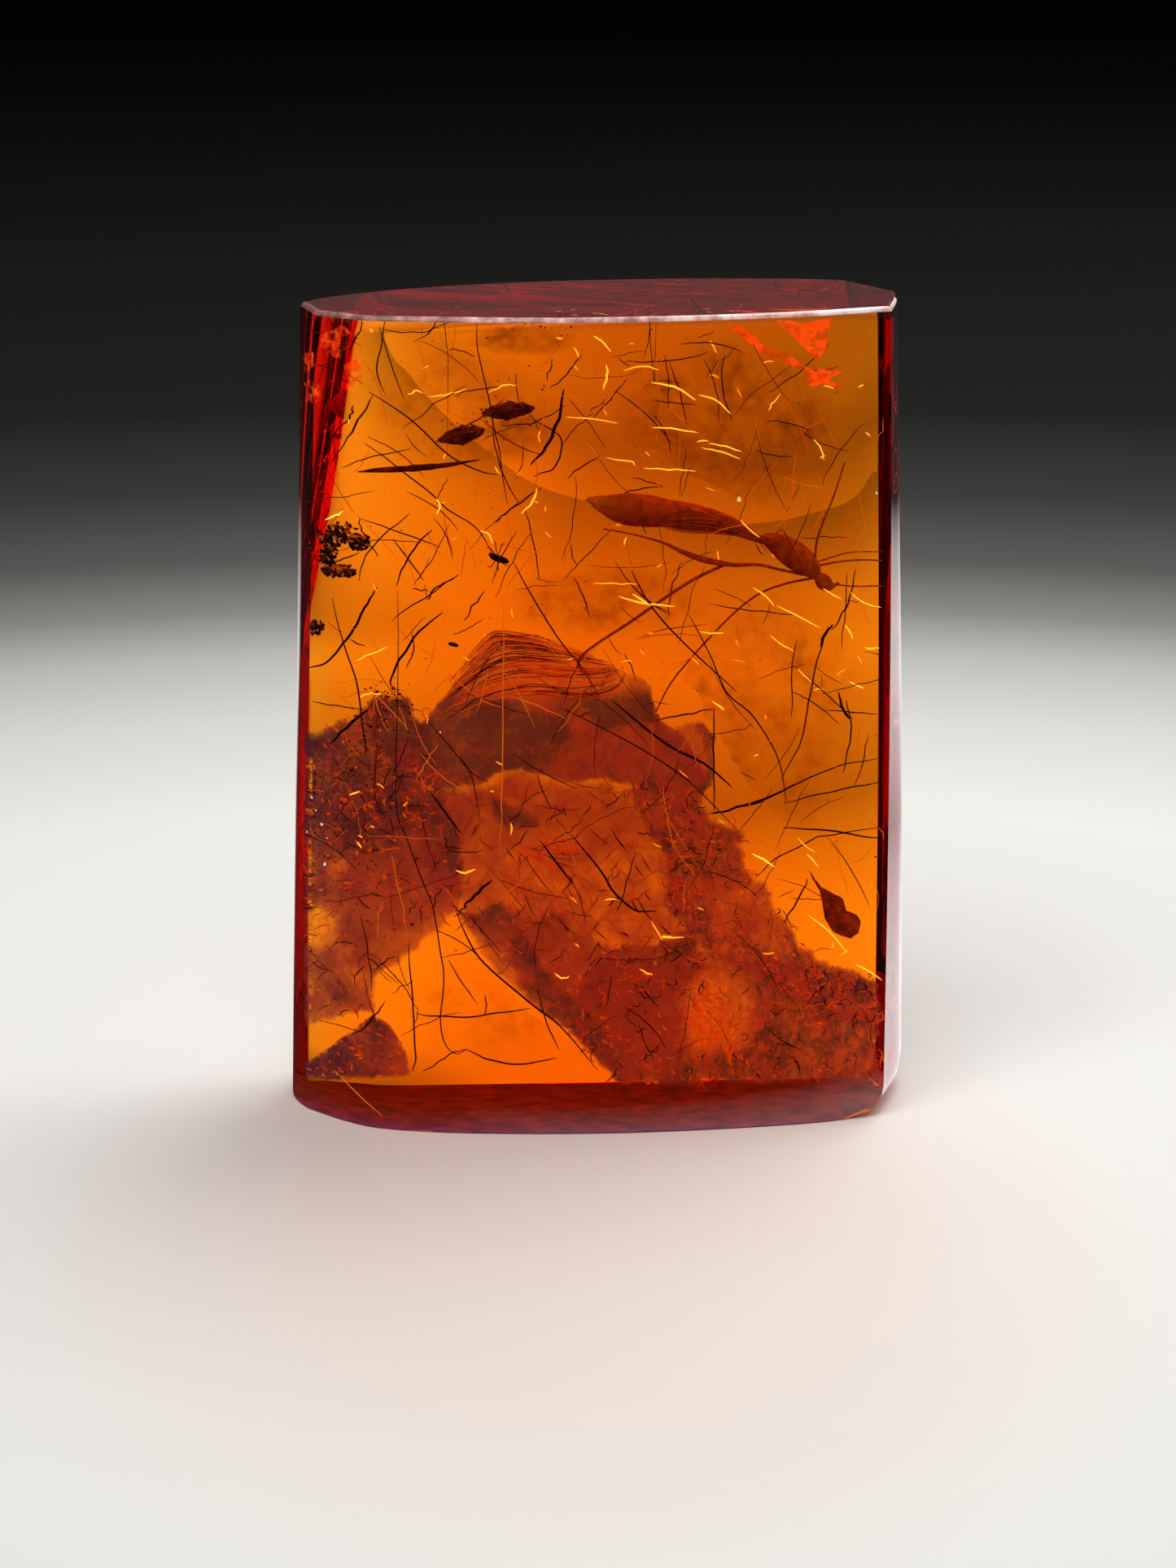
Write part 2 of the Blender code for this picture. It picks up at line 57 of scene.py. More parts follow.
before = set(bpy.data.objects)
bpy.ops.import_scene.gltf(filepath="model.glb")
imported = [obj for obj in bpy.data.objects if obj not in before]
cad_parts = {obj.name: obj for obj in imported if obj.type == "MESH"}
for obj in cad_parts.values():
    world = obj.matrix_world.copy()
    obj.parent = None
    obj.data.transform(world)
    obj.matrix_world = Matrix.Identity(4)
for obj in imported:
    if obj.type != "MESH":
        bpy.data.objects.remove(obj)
CAD_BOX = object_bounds()

MM = 0.001
IOR = 1.54

# The camera, in the photograph's own frame.
PHOTO_SIZE = (1445, 1927)
FOCAL_PIXELS = 6370.0
CAMERA_PITCH = math.radians(13.64)
CAMERA_PLACE = Vector((-0.44, -217.21, 66.61)) * MM

# The plan of the block, in millimetres, as in the part's source.
FOOT_FRONT = ((-12.6, -2.2), (-10.9, -4.0), (-9.2, -5.1), (-6.0, -5.72), (-1.2, -5.85), (3.4, -5.45),
              (8.2, -4.55), (12.25, -3.4))
FOOT_RIGHT = ((12.25, -3.4), (13.05, -0.2), (13.35, 2.2))
FOOT_BACK = ((13.35, 2.2), (12.3, 3.95), (11.3, 5.45), (10.95, 5.75), (9.0, 5.9), (4.0, 6.1), (-3.0, 5.75),
             (-8.8, 4.65), (-12.1, 3.3), (-13.3, 1.3))
TOP_FRONT = ((-11.75, -3.5), (-9.8, -4.95), (-7.8, -5.35), (-5.0, -5.6), (-1.5, -5.75), (3.4, -5.15),
             (8.0, -4.1), (12.2, -2.4))
TOP_RIGHT = ((12.2, -2.4), (12.55, 0.2), (12.65, 2.2))
TOP_BACK = ((12.65, 2.2), (11.7, 3.8), (10.8, 5.35), (10.4, 5.65), (8.6, 5.95), (3.6, 6.05), (-3.0, 5.05),
            (-8.5, 2.8), (-11.6, 0.4), (-12.5, -1.0))
FRONT_STEPS = 90
RIGHT_STEPS = 24
BACK_STEPS = 108
LEFT_STEPS = 12
UPRIGHT_STEPS = 48
LEFT_BOW = 0.35
FACET_START = 20.0
CORNER_START_X = 9.0
BULGE = 0.12
PARTING_ANGLE = math.radians(6.0)
PARTING_Y = -0.8


# Where the amber shows in the photograph, and the size of one of its pixels on the parting plane, in millimetres.
AMBER_LEFT = 373.0
AMBER_RIGHT = 1085.0
PIXEL = 0.0336

# Depths behind the parting plane, in millimetres.
FLY_DEPTH = -1.4
LEAF_DEPTH = -1.1
SPLINTER_DEPTH = -1.1
HUSK_DEPTH = -1.05
SOIL_DEPTH = -0.65

# Where the noise that tears outlines starts, so that each run gives the same edges.
NOISE_SEED = 3

# The floor's painted falloff of light: its brightness against its distance from the object, as a share of the far
# radius.
PAINTED_FLOOR_FALLOFF = ((0.0, 1.0), (0.11, 0.94), (0.15, 0.78), (0.184, 0.56), (0.212, 0.27), (0.244, 0.115), (0.294, 0.05),
              (0.364, 0.02), (1.0, 0.003))

# The hair of air between the polished foot and the floor, in metres.
FLOOR_GAP = 0.00003

# The floor's painted warm glow in front of the amber, standing in for light that comes through it: place, reach across
# and along, tint.
GLOW_PLACE = (0.0, 0.013, 0.0)
GLOW_SCALE = (1.0, 0.62, 1.0)
GLOW_REACH = (0.008, 0.026)
GLOW_TINT = (0.99, 0.885, 0.845)

# Painted shade on the floor for glossy rays, so that its reflection in the amber's polish looks dark: in front of it,
# and past its left side (lines in metres).
PAINTED_DARK_FRONT = (-0.005, -0.010)
PAINTED_DARK_LEFT = (0.002, 0.010)
PAINTED_DARK_SLOPE = 0.36

# The floor's painted light against its distance, seen through the amber.
PAINTED_THROUGH_LIGHT = ((0.0, 1.35), (0.05, 1.30), (0.11, 0.50), (0.15, 0.72), (0.175, 0.88), (0.21, 0.84), (0.262, 0.52),
                (0.30, 0.03), (1.0, 0.005))

# The low panels behind: distance, size, (angle seen from above, light at the foot, middle and top,
# light across from its right end to its left) of each.
PANEL_REACH = 0.130
PANEL_SIZE = (0.140, 0.016)
PANELS = ((-15.0, (0.56, 0.40, 0.36), (1.0, 1.0)), (38.0, (0.56, 0.40, 0.36), (1.0, 1.0)),
          (90.0, (0.26, 0.55, 0.54), (1.40, 1.35, 1.30, 0.84, 0.62, 0.60, 0.60)),
          (142.0, (0.30, 0.24, 0.18), (1.0, 1.0)), (195.0, (0.30, 0.24, 0.18), (1.0, 1.0)))

# Places in the photograph, in pixels. The body of the fly: (across, down, half width) from tip to waist and on.
ABDOMEN = ((719.5, 614.4, 1.0), (727, 615, 5.5), (743, 620, 12.5), (765, 625, 19.5), (790, 627.5, 21.0),
           (821, 631, 18.0), (864, 638.5, 16.5), (904, 648.5, 11.0), (928, 660, 5.5), (940, 666, 3.5))
THORAX = ((933, 664, 4.0), (942, 663, 8.5), (957, 669, 14.5), (973, 680, 17.5), (990, 693, 15.5),
          (1001, 703, 9.5), (1006, 708, 4.5))
HEAD = ((1003, 706, 3.0), (1007, 710, 8.0), (1013, 716, 9.8), (1019, 721, 7.0), (1023, 724, 2.0))
HEAD_BEAK = ((1013, 718), (1022, 721), (1031, 716))
WINGS = (
    ((955, 664), (930, 656), (905, 640), (880, 631), (850, 627), (818, 632), (806, 640), (826, 647), (858, 650),
     (890, 655), (925, 664)),
    ((958, 668), (934, 668), (908, 660), (880, 656), (850, 656), (822, 651), (812, 643), (838, 638), (868, 640),
     (900, 648), (930, 658)),
)
WING_VEINS = (((940, 664), (905, 648), (870, 638), (826, 638)), ((935, 665), (895, 652), (850, 645), (815, 645)),
              ((930, 663), (885, 645), (840, 641)), ((943, 667), (900, 657), (845, 652)))
# Legs and feelers: (across, down, depth in mm, radius in mm) along each.
LEGS = (
    ((986, 706, -1.4, 0.07), (958, 700, -1.6, 0.06), (931, 694, -1.8, 0.07), (900, 694, -1.9, 0.10),
     (866, 688, -1.9, 0.14), (838, 678, -1.9, 0.10), (815, 667, -1.9, 0.06), (775, 656, -1.9, 0.035),
     (741, 650, -1.9, 0.03)),
    ((890, 694, -1.8, 0.07), (844, 717, -1.8, 0.07), (778, 762, -1.7, 0.065), (713, 808, -1.6, 0.055),
     (724, 834, -1.6, 0.035), (736, 856, -1.6, 0.035)),
    ((1006, 709, -1.4, 0.06), (963, 718, -1.2, 0.05), (926, 734, -1.1, 0.045), (883, 772, -1.1, 0.042),
     (829, 833, -1.0, 0.036), (806, 874, -1.0, 0.03)),
    ((1005, 695, -1.4, 0.06), (1033, 690, -1.5, 0.04), (1060, 688, -1.5, 0.035), (1084, 689, -1.5, 0.03)),
    ((1002, 691, -1.2, 0.04), (1044, 679, -1.1, 0.028), (1084, 678, -1.0, 0.024)),
    ((1003, 713, -1.3, 0.05), (1041, 720, -1.1, 0.034), (1084, 720, -1.0, 0.03)),
    ((1001, 690, -1.5, 0.06), (1003, 670, -1.5, 0.05), (1009, 648, -1.6, 0.045), (1025, 608, -1.6, 0.04),
     (1038, 568, -1.6, 0.035)),
    ((953, 655, -1.9, 0.02), (962, 652, -2.0, 0.03), (974, 672, -2.05, 0.035), (986, 692, -2.0, 0.035),
     (991, 706, -1.8, 0.02)),
)

# The bark film, sheet by sheet.
FILM_ARCH = ((548, 848), (566, 826), (581, 806), (592, 786), (606, 776), (640, 778), (680, 790), (722, 800),
             (746, 816), (782, 828), (800, 842), (803, 866), (812, 884), (840, 900), (858, 930), (872, 962),
             (862, 990), (836, 1000), (812, 980), (775, 966), (738, 958), (700, 962), (676, 956), (640, 944),
             (612, 950), (596, 964), (552, 968), (528, 962), (498, 952), (480, 930), (500, 906), (524, 880))
FILM_FIBRES = ((540, 852), (560, 824), (584, 796), (604, 777), (650, 780), (700, 794), (742, 812), (770, 828),
               (762, 852), (720, 862), (670, 856), (620, 858), (575, 872), (548, 880))
FILM_WINDOW = ((546, 968), (600, 962), (640, 942), (690, 960), (738, 955), (800, 1000), (836, 1050), (850, 1110),
               (870, 1180), (840, 1230), (780, 1260), (700, 1240), (640, 1200), (600, 1180), (572, 1140),
               (556, 1112), (520, 1080), (505, 1020), (520, 975))
FILM_LEFT = ((374, 905), (420, 880), (470, 850), (505, 862), (530, 900), (540, 965), (560, 1010), (572, 1060),
             (566, 1118), (524, 1152), (492, 1188), (464, 1206), (461, 1240), (420, 1250), (374, 1262))
FILM_BROWN = ((391, 1108), (440, 1030), (500, 1005), (545, 1030), (556, 1080), (558, 1118), (524, 1150),
              (480, 1152), (430, 1170), (391, 1209))
FILM_LEFT_DARK = ((374, 985), (420, 960), (470, 930), (520, 940), (546, 962), (540, 1000), (500, 1030),
                  (440, 1050), (400, 1100), (374, 1130))
FILM_STRIP = ((800, 950), (830, 978), (855, 984), (883, 1005), (912, 1025), (920, 1066), (940, 1087), (965, 1127),
              (989, 1160), (1014, 1180), (1047, 1185), (1083, 1209), (1083, 1262), (1040, 1262), (980, 1230),
              (930, 1200), (880, 1180), (840, 1140), (812, 1098), (815, 1050), (790, 1010), (760, 975))
FILM_LOW = ((846, 1150), (900, 1172), (960, 1176), (1020, 1196), (1083, 1206), (1083, 1332), (760, 1332),
            (730, 1306), (700, 1270), (712, 1200), (760, 1160))
FILM_RED = ((611, 1099), (640, 1110), (690, 1120), (740, 1150), (800, 1180), (850, 1200), (860, 1270),
            (842, 1332), (770, 1332), (740, 1312), (689, 1260), (652, 1233), (622, 1196), (612, 1150))
FILM_WEDGE = ((614, 1104), (632, 1126), (655, 1170), (690, 1215), (740, 1262), (772, 1318), (742, 1312),
              (692, 1262), (650, 1232), (616, 1204), (594, 1184), (572, 1146), (558, 1118), (586, 1122))
FILM_CORNER = ((459, 1244), (480, 1262), (500, 1290), (507, 1322), (400, 1328), (374, 1322), (374, 1306),
               (410, 1282))
FILM_LOBE = ((828, 892), (846, 886), (866, 888), (878, 904), (877, 950), (874, 968), (856, 980), (838, 968),
             (826, 930))
LEAF_SHADE = ((595, 980), (612, 978), (632, 990), (654, 998), (668, 1012), (660, 1019), (634, 1022), (614, 1018),
              (604, 1000))
LEAF = ((993, 1068), (1001, 1080), (1009, 1091), (1024, 1098), (1036, 1104), (1040, 1118), (1052, 1123),
        (1058, 1131), (1056, 1146), (1046, 1153), (1034, 1151), (1024, 1146), (1015, 1132), (1010, 1112),
        (1006, 1094), (998, 1080))
SPLINTER = ((440, 580, 0.02), (462, 578, 0.10), (500, 576, 0.14), (545, 572, 0.11), (590, 565, 0.02))
HUSKS = (("husk_left", (568, 535), (1.0, 0.34, 0.3), 13.0), ("husk_right", (624, 505), (1.1, 0.32, 0.3), 6.0))
SOIL = (("soil_clot", ((414, 655, 26, 15), (404, 682, 12, 26), (416, 702, 20, 9), (440, 666, 12, 9)), 420),
        ("soil_crumb", ((386, 771, 12, 9),), 80))

# Faint clouds: outline, depth in mm, shade and opacity.
VEILS = (
    (((740, 400), (900, 396), (1080, 400), (1084, 560), (1010, 640), (880, 600), (770, 540), (720, 450)),
     0.4, 0.75, 0.30),
    (((820, 690), (960, 720), (1084, 760), (1084, 1000), (1000, 1060), (920, 960), (860, 860), (800, 770)),
     0.1, 0.45, 0.22),
    (((600, 720), (690, 700), (800, 690), (880, 700), (900, 740), (820, 780), (700, 790), (620, 770)),
     -0.2, 0.6, 0.26),
    (((420, 400), (560, 400), (700, 420), (690, 560), (560, 600), (430, 560)), 0.6, 0.5, 0.16),
    (((560, 505), (640, 490), (690, 520), (660, 570), (590, 580), (545, 560)), -0.6, 0.7, 0.30),
    (((560, 400), (640, 408), (720, 412), (690, 440), (620, 436), (560, 420)), -0.9, 0.8, 0.4),
    (((480, 1170), (570, 1150), (640, 1230), (720, 1300), (600, 1318), (510, 1310)), 0.2, 0.3, 0.12),
)

# Plant hairs.
MAIN_HAIRS = (
    ((453, 482), (489, 504), (514, 524), (551, 559), (589, 579), (614, 584)),
    ((447, 544), (469, 559), (494, 579), (529, 606), (551, 627), (584, 648), (605, 680)),
    ((585, 395), (587, 430), (599, 482), (609, 531), (614, 559), (624, 620)),
    ((474, 395), (463, 454), (473, 484)),
    ((489, 727), (489, 839), (487, 985), (499, 1029), (519, 1084), (531, 1114), (541, 1170), (545, 1202),
     (540, 1252), (546, 1282), (559, 1294), (574, 1289)),
    ((408, 734), (422, 791), (437, 836), (447, 898), (449, 930)),
    ((531, 651), (514, 667), (497, 694), (487, 720)),
    ((504, 632), (474, 655), (449, 685), (440, 713)),
    ((596, 727), (583, 743), (570, 763)),
    ((524, 737), (536, 722), (564, 707)),
    ((608, 642), (626, 627), (666, 600)),
    ((525, 885), (559, 925), (579, 949), (600, 962)),
    ((874, 1000), (928, 986), (981, 962), (1035, 940), (1080, 933)),
    ((962, 986), (1035, 970), (1083, 962)),
    ((928, 1077), (954, 1056), (995, 1034), (1021, 1026), (1083, 1017)),
    ((962, 1018), (1005, 1020), (1050, 1026), (1083, 1030)),
    ((992, 1080), (980, 1106), (963, 1136)),
    ((572, 1289), (600, 1302), (640, 1308), (685, 1301)),
    ((520, 1318), (546, 1300), (572, 1289)),
    ((502, 1160), (507, 1225), (510, 1290), (508, 1318)),
    ((512, 1246), (545, 1250), (600, 1247), (652, 1240)),
    ((846, 755), (870, 800), (892, 850), (925, 880), (955, 930), (966, 985)),
    ((1018, 770), (1008, 800), (996, 850), (985, 905), (960, 960)),
    ((1040, 860), (1046, 900), (1036, 950)),
    ((877, 870), (877, 930), (877, 997)),
    ((806, 886), (840, 879), (875, 870)),
    ((690, 870), (760, 905), (840, 955), (904, 1018)),
    ((775, 700), (800, 745), (840, 790), (905, 850)),
    ((630, 690), (655, 735), (690, 790), (724, 830)),
    ((655, 515), (690, 540), (680, 575), (655, 585)),
    ((1052, 700), (1040, 745), (1022, 775)),
)
THICK_HAIRS = (
    ((464, 722), (447, 749), (425, 786), (402, 814), (380, 822)),
    ((544, 752), (514, 779), (494, 806), (482, 829), (480, 845)),
    ((693, 478), (686, 515), (672, 548), (652, 572)),
    ((664, 1033), (685, 1062), (705, 1087)),
    ((701, 1025), (738, 1070), (753, 1095), (781, 1119), (806, 1119)),
    ((749, 858), (793, 895), (826, 919), (867, 940), (900, 968)),
    ((560, 1119), (574, 1152), (595, 1184), (652, 1233), (689, 1262), (735, 1316)),
    ((530, 975), (548, 1000), (566, 1024)),
    ((570, 1115), (586, 1098), (604, 1082)),
    ((872, 1000), (905, 993), (940, 982), (985, 960)),
    ((1030, 850), (1036, 872), (1044, 884)),
    ((1008, 795), (1014, 780), (1024, 768)),
    ((406, 915), (430, 890), (452, 872)),
)
GOLDEN_HAIRS = (
    ((618, 740), (618, 900), (616, 985), (615, 1040)),
    ((551, 829), (574, 847), (599, 864), (616, 868)),
    ((626, 854), (658, 866), (696, 884)),
    ((539, 915), (521, 940), (511, 961)),
    ((976, 860), (941, 919), (922, 980), (909, 1021)),
    ((978, 560), (974, 600), (966, 650)),
    ((1030, 590), (1016, 620), (1000, 650)),
    ((1050, 595), (1062, 640), (1052, 700)),
    ((482, 1050), (492, 1100), (500, 1150)),
    ((411, 1315), (440, 1345), (470, 1372)),
)
# Places of the painted glints: gold strokes that glow as emission.
GLINTS = (
    ((500, 484), (512, 481), (520, 483)), ((527, 488), (548, 485), (573, 478)), ((600, 483), (618, 474), (635, 473)),
    ((695, 513), (728, 515), (760, 520)), ((728, 412), (740, 420), (750, 432)), ((765, 455), (790, 450), (810, 455)),
    ((800, 470), (830, 476), (855, 492)), ((858, 485), (880, 492), (898, 509)), ((800, 525), (830, 527), (858, 532)),
    ((862, 550), (885, 555), (910, 564)), ((745, 563), (775, 567), (780, 572)), ((790, 575), (825, 577), (855, 579)),
    ((872, 418), (876, 425), (881, 434)), ((945, 505), (950, 496), (960, 485)), ((1000, 540), (1008, 550), (1013, 566)),
    ((400, 640), (411, 634), (422, 628)), ((437, 812), (455, 804), (478, 795)), ((728, 717), (755, 717), (785, 718)),
    ((760, 733), (790, 742), (830, 745)), ((925, 722), (940, 732), (952, 745)), ((955, 745), (980, 757), (1008, 772)),
    ((1010, 722), (1022, 730), (1034, 736)), ((1045, 728), (1060, 740), (1083, 747)), ((1038, 768), (1044, 776), (1048, 786)),
    ((1063, 796), (1070, 797), (1080, 796)), ((980, 822), (988, 830), (998, 839)), ((875, 862), (884, 868), (890, 873)),
    ((800, 745), (790, 738), (777, 730)), ((860, 776), (875, 779), (890, 778)), ((945, 780), (960, 792), (975, 800)),
    ((992, 1050), (998, 1056), (1005, 1065)), ((993, 1125), (1018, 1144), (1042, 1172)), ((1050, 1185), (1065, 1192), (1083, 1204)),
    ((909, 638), (920, 650), (934, 661)), ((590, 652), (601, 657), (605, 668)), ((535, 612), (540, 620), (536, 632)),
    ((745, 448), (746, 462), (742, 480)), ((660, 600), (655, 615), (640, 632)), ((1044, 838), (1052, 842), (1062, 846)),
    ((870, 545), (893, 549), (912, 556)), ((925, 1050), (938, 1056), (952, 1066)), ((980, 1030), (990, 1040), (1002, 1048)),
    ((680, 1195), (690, 1202), (700, 1200)), ((440, 856), (455, 853), (470, 853)), ((800, 1132), (806, 1142), (814, 1156)),
    ((785, 1190), (795, 1196), (802, 1198)), ((825, 1150), (815, 1152), (840, 1151)), ((560, 1070), (572, 1073), (584, 1068)),
)
TOP_CRACKS = (
    ((893, 398), (915, 406), (934, 420), (952, 432), (975, 440), (1000, 455), (1037, 476), (1028, 478),
     (1000, 466), (978, 452), (950, 442), (925, 424), (905, 410)),
    ((953, 396), (985, 398), (1020, 392), (1019, 414), (1006, 446), (990, 430), (972, 410)),
    ((905, 404), (930, 412), (918, 420)),
    ((982, 470), (1010, 452), (1034, 458), (1016, 470), (1000, 474)),
)
LEFT_FLECKS = (
    ((372, 432), (384, 428), (392, 446), (380, 460)),
    ((374, 470), (392, 478), (386, 500), (374, 496)),
    ((396, 412), (416, 398), (432, 410), (420, 440), (404, 438)),
    ((420, 452), (440, 440), (446, 462), (430, 478)),
)


class AmberBlockSettings(bpy.types.PropertyGroup):
    """The block of amber."""

    height: bpy.props.FloatProperty(
        name="Height", description="Height of the block", default=0.035, unit="LENGTH")
    corner_radius: bpy.props.FloatProperty(
        name="Corner radius", description="Round lower right corner", default=0.0014, unit="LENGTH")
    # The rounded top edge; its front part carries the painted edge highlight.
    edge_width: bpy.props.FloatProperty(
        name="Edge width", description="Width of the worn top edge", default=0.0002, unit="LENGTH")
    foot_edge: bpy.props.FloatProperty(
        name="Foot edge", description="Width of the rounded edge of the foot", default=0.0001, unit="LENGTH")
    wave: bpy.props.FloatProperty(
        name="Polish wave", description="Depth of the waves that hand polishing leaves", default=0.00001,
        unit="LENGTH")
    colour: bpy.props.FloatVectorProperty(
        name="Colour", description="Colour that the amber lets through", subtype="COLOR", size=3,
        default=(0.9925, 0.735, 0.0))
    density: bpy.props.FloatProperty(
        name="Density", description="How fast the amber takes up light", default=640.0)


class FlySettings(bpy.types.PropertyGroup):
    """The crane fly."""

    sides: bpy.props.IntProperty(
        name="Sides", description="Sides round the body", default=28, min=8)
    rings: bpy.props.IntProperty(
        name="Body rings", description="Rings of the abdomen that show as joints", default=9, min=3)
    ring_depth: bpy.props.FloatProperty(
        name="Joint depth", description="How deep the joints between the rings are", default=0.00004, unit="LENGTH")
    colour: bpy.props.FloatVectorProperty(
        name="Colour", description="Colour of the shell", subtype="COLOR", size=3, default=(0.62, 0.16, 0.06))


class FilmSettings(bpy.types.PropertyGroup):
    """The torn film of bark."""

    step: bpy.props.FloatProperty(
        name="Step", description="Spacing of the film's mesh, in pixels of the photograph", default=5.0, min=2.0)
    thickness: bpy.props.FloatProperty(
        name="Thickness", description="Thickness of one sheet", default=0.00004, unit="LENGTH")
    depth: bpy.props.FloatProperty(
        name="Depth", description="Depth of the film behind the parting plane", default=0.0009, unit="LENGTH")


class HairSettings(bpy.types.PropertyGroup):
    """Plant hairs, fibres and glints."""

    seed: bpy.props.IntProperty(name="Seed", description="Start of the random places", default=7)
    short_dark: bpy.props.IntProperty(
        name="Short dark hairs", description="How many short dark hairs are scattered", default=260, min=0)
    short_golden: bpy.props.IntProperty(
        name="Short golden hairs", description="How many short golden hairs are scattered", default=120, min=0)
    grains: bpy.props.IntProperty(
        name="Bark dust", description="How many grains of bark dust there are", default=700, min=0)


class StageSettings(bpy.types.PropertyGroup):
    """The floor and the lights."""

    floor_colour: bpy.props.FloatVectorProperty(
        name="Floor", description="Colour of the pale floor", subtype="COLOR", size=3,
        default=(0.775, 0.77, 0.735))
    far_radius: bpy.props.FloatProperty(
        name="Far radius", description="Where the floor has gone all dark", default=0.5, unit="LENGTH")
    panel_light: bpy.props.FloatProperty(
        name="Panel", description="Power of the low panel behind the amber", default=0.0098, unit="POWER")



def select_only(obj):
    """Deselect everything, then select and activate one object."""
    bpy.ops.object.select_all(action="DESELECT")
    obj.select_set(True)
    bpy.context.view_layer.objects.active = obj


def finish_piece(obj, material, slot, *nodes):
    """Give a piece its material and its body, and hide the nodes that it stands for; the slot is not used."""
    obj.data.materials.clear()
    obj.data.materials.append(material)
    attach(obj, "root")
    if nodes:
        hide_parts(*nodes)
    return obj


def spline(points, steps):
    """Points along a smooth curve through the given ones, without the last."""
    first = [2 * a - b for a, b in zip(points[0], points[1])]
    last = [2 * a - b for a, b in zip(points[-1], points[-2])]
    padded = [Vector(p) for p in (first, *points, last)]
    spans = len(points) - 1
    curve = []
    for step in range(steps):
        place = spans * step / steps
        i = min(int(place), spans - 1)
        t = place - i
        a, b, c, d = padded[i:i + 4]
        curve.append(0.5 * (2 * b + (c - a) * t + (2 * a - 5 * b + 4 * c - d) * t ** 2
                            + (3 * b - a - 3 * c + d) * t ** 3))
    return curve


def plan(height, top):
    """The closed outline of the block at a height, seen from above, in millimetres."""
    rise = height / top
    facet = max(0.0, (height - FACET_START) / (top - FACET_START))
    low_ring = spline(FOOT_FRONT, FRONT_STEPS) + spline(FOOT_RIGHT, RIGHT_STEPS)
    high_ring = spline(TOP_FRONT, FRONT_STEPS) + spline(TOP_RIGHT, RIGHT_STEPS)
    edge = [low.lerp(high, rise) for low, high in zip(low_ring, high_ring)]
    low_ring = spline(FOOT_BACK, BACK_STEPS) + [Vector(FOOT_BACK[-1])]
    high_ring = spline(TOP_BACK, BACK_STEPS) + [Vector(TOP_BACK[-1])]
    for low, high in zip(low_ring, high_ring):
        edge.append(Vector((low.lerp(high, rise).x, low.lerp(high, facet).y)))
    start, end = edge[-1], edge[0]
    for step in range(1, LEFT_STEPS):
        share = step / LEFT_STEPS
        bow = LEFT_BOW * (1.0 - rise) * math.sin(math.pi * share)
        edge.append(start.lerp(end, share) - Vector((bow, 0.0)))
    return edge


def corner_inset(x, height, radius):
    """How far the rounded lower right corner pulls the right edge in, in millimetres."""
    if height >= radius or x <= CORNER_START_X:
        return 0.0
    drop = radius - height
    share = min(1.0, (x - CORNER_START_X) / (FOOT_RIGHT[0][0] - CORNER_START_X))
    return (radius - math.sqrt(radius ** 2 - drop ** 2)) * share ** 2


def block_ring(height, settings):
    """The block's outline at a height, in millimetres."""
    top = settings.height / MM
    radius = settings.corner_radius / MM
    swell = 1.0 + BULGE * math.sin(math.pi * height / top) / FOOT_RIGHT[-1][0]
    ring = []
    for point in plan(height, top):
        x = point.x * swell
        ring.append(Vector((x - corner_inset(x, height, radius), point.y * swell, height)))
    return ring


def rounded(height, inset, settings):
    """The block's outline at a height, pulled in by an inset in millimetres where an edge is rounded."""
    ring = block_ring(height, settings)
    pulled = []
    for i, point in enumerate(ring):
        ahead = ring[(i + 1) % len(ring)] - ring[i - 1]
        pulled.append(point - Vector((ahead.y, -ahead.x, 0.0)).normalized() * inset)
    return pulled


def centring(rings):
    """The shift that puts the rings' middle over the origin."""
    points = [p for ring in rings for p in ring]
    x = (min(p.x for p in points) + max(p.x for p in points)) / 2
    y = (min(p.y for p in points) + max(p.y for p in points)) / 2
    return Vector((-x, -y, 0.0))


def sight_line(px, py):
    """The direction of the camera's line through a point of the photograph."""
    ahead = Vector((0.0, math.cos(CAMERA_PITCH), -math.sin(CAMERA_PITCH)))
    right = Vector((1.0, 0.0, 0.0))
    up = right.cross(ahead)
    across = (px - PHOTO_SIZE[0] / 2) / FOCAL_PIXELS
    down = (py - PHOTO_SIZE[1] / 2) / FOCAL_PIXELS
    return (ahead + right * across - up * down).normalized()


class Amber:
    """The block as the sealed things see it: its surface, and the parting plane near mid-depth."""

    surface = None
    skin = 0.0001
    middle = Vector((0.0, 0.0, 0.0))
    along = Vector((math.cos(PARTING_ANGLE), math.sin(PARTING_ANGLE), 0.0))
    inward = Vector((-math.sin(PARTING_ANGLE), math.cos(PARTING_ANGLE), 0.0))

    @classmethod
    def place(cls, along, height, depth):
        """The point at a place given in millimetres; depth runs from the plane towards the back."""
        return cls.middle + (cls.along * along + cls.inward * depth + Vector((0.0, 0.0, height))) * MM

    @classmethod
    def read(cls, point):
        """The (along, height) of a point, in millimetres."""
        return Vector(((point - cls.middle).dot(cls.along) / MM, point.z / MM))

    @classmethod
    def seen(cls, px, py, depth):
        """The point behind a point of the photograph, at a depth in millimetres from the plane."""
        line = sight_line(px, py)
        hit, normal, _, _ = cls.surface.ray_cast(CAMERA_PLACE, line)
        if hit is None:
            raise ValueError(f"nothing is seen in the amber at {px}, {py}")
        facing = -normal.dot(line)
        bend = 1.0 / IOR
        inside = line * bend + normal * (bend * facing - math.sqrt(1.0 - bend ** 2 * (1.0 - facing ** 2)))
        reach = (depth * MM - (hit - cls.middle).dot(cls.inward)) / inside.dot(cls.inward)
        start = hit + inside * cls.skin
        _, _, _, room = cls.surface.ray_cast(start, inside)
        return start + inside * max(0.0, min(reach, (room or 0.0)) - 2 * cls.skin)

    @classmethod
    def seen_place(cls, px, py, depth):
        """The (along, height) behind a point of the photograph."""
        return cls.read(cls.seen(px, py, depth))


# Materials


def new_material(name):
    """An empty node material with a Principled shader; returns it with its nodes, links and shader."""
    material = bpy.data.materials.new(name)
    material.use_nodes = True
    tree = material.node_tree
    return material, tree.nodes, tree.links, tree.nodes["Principled BSDF"]


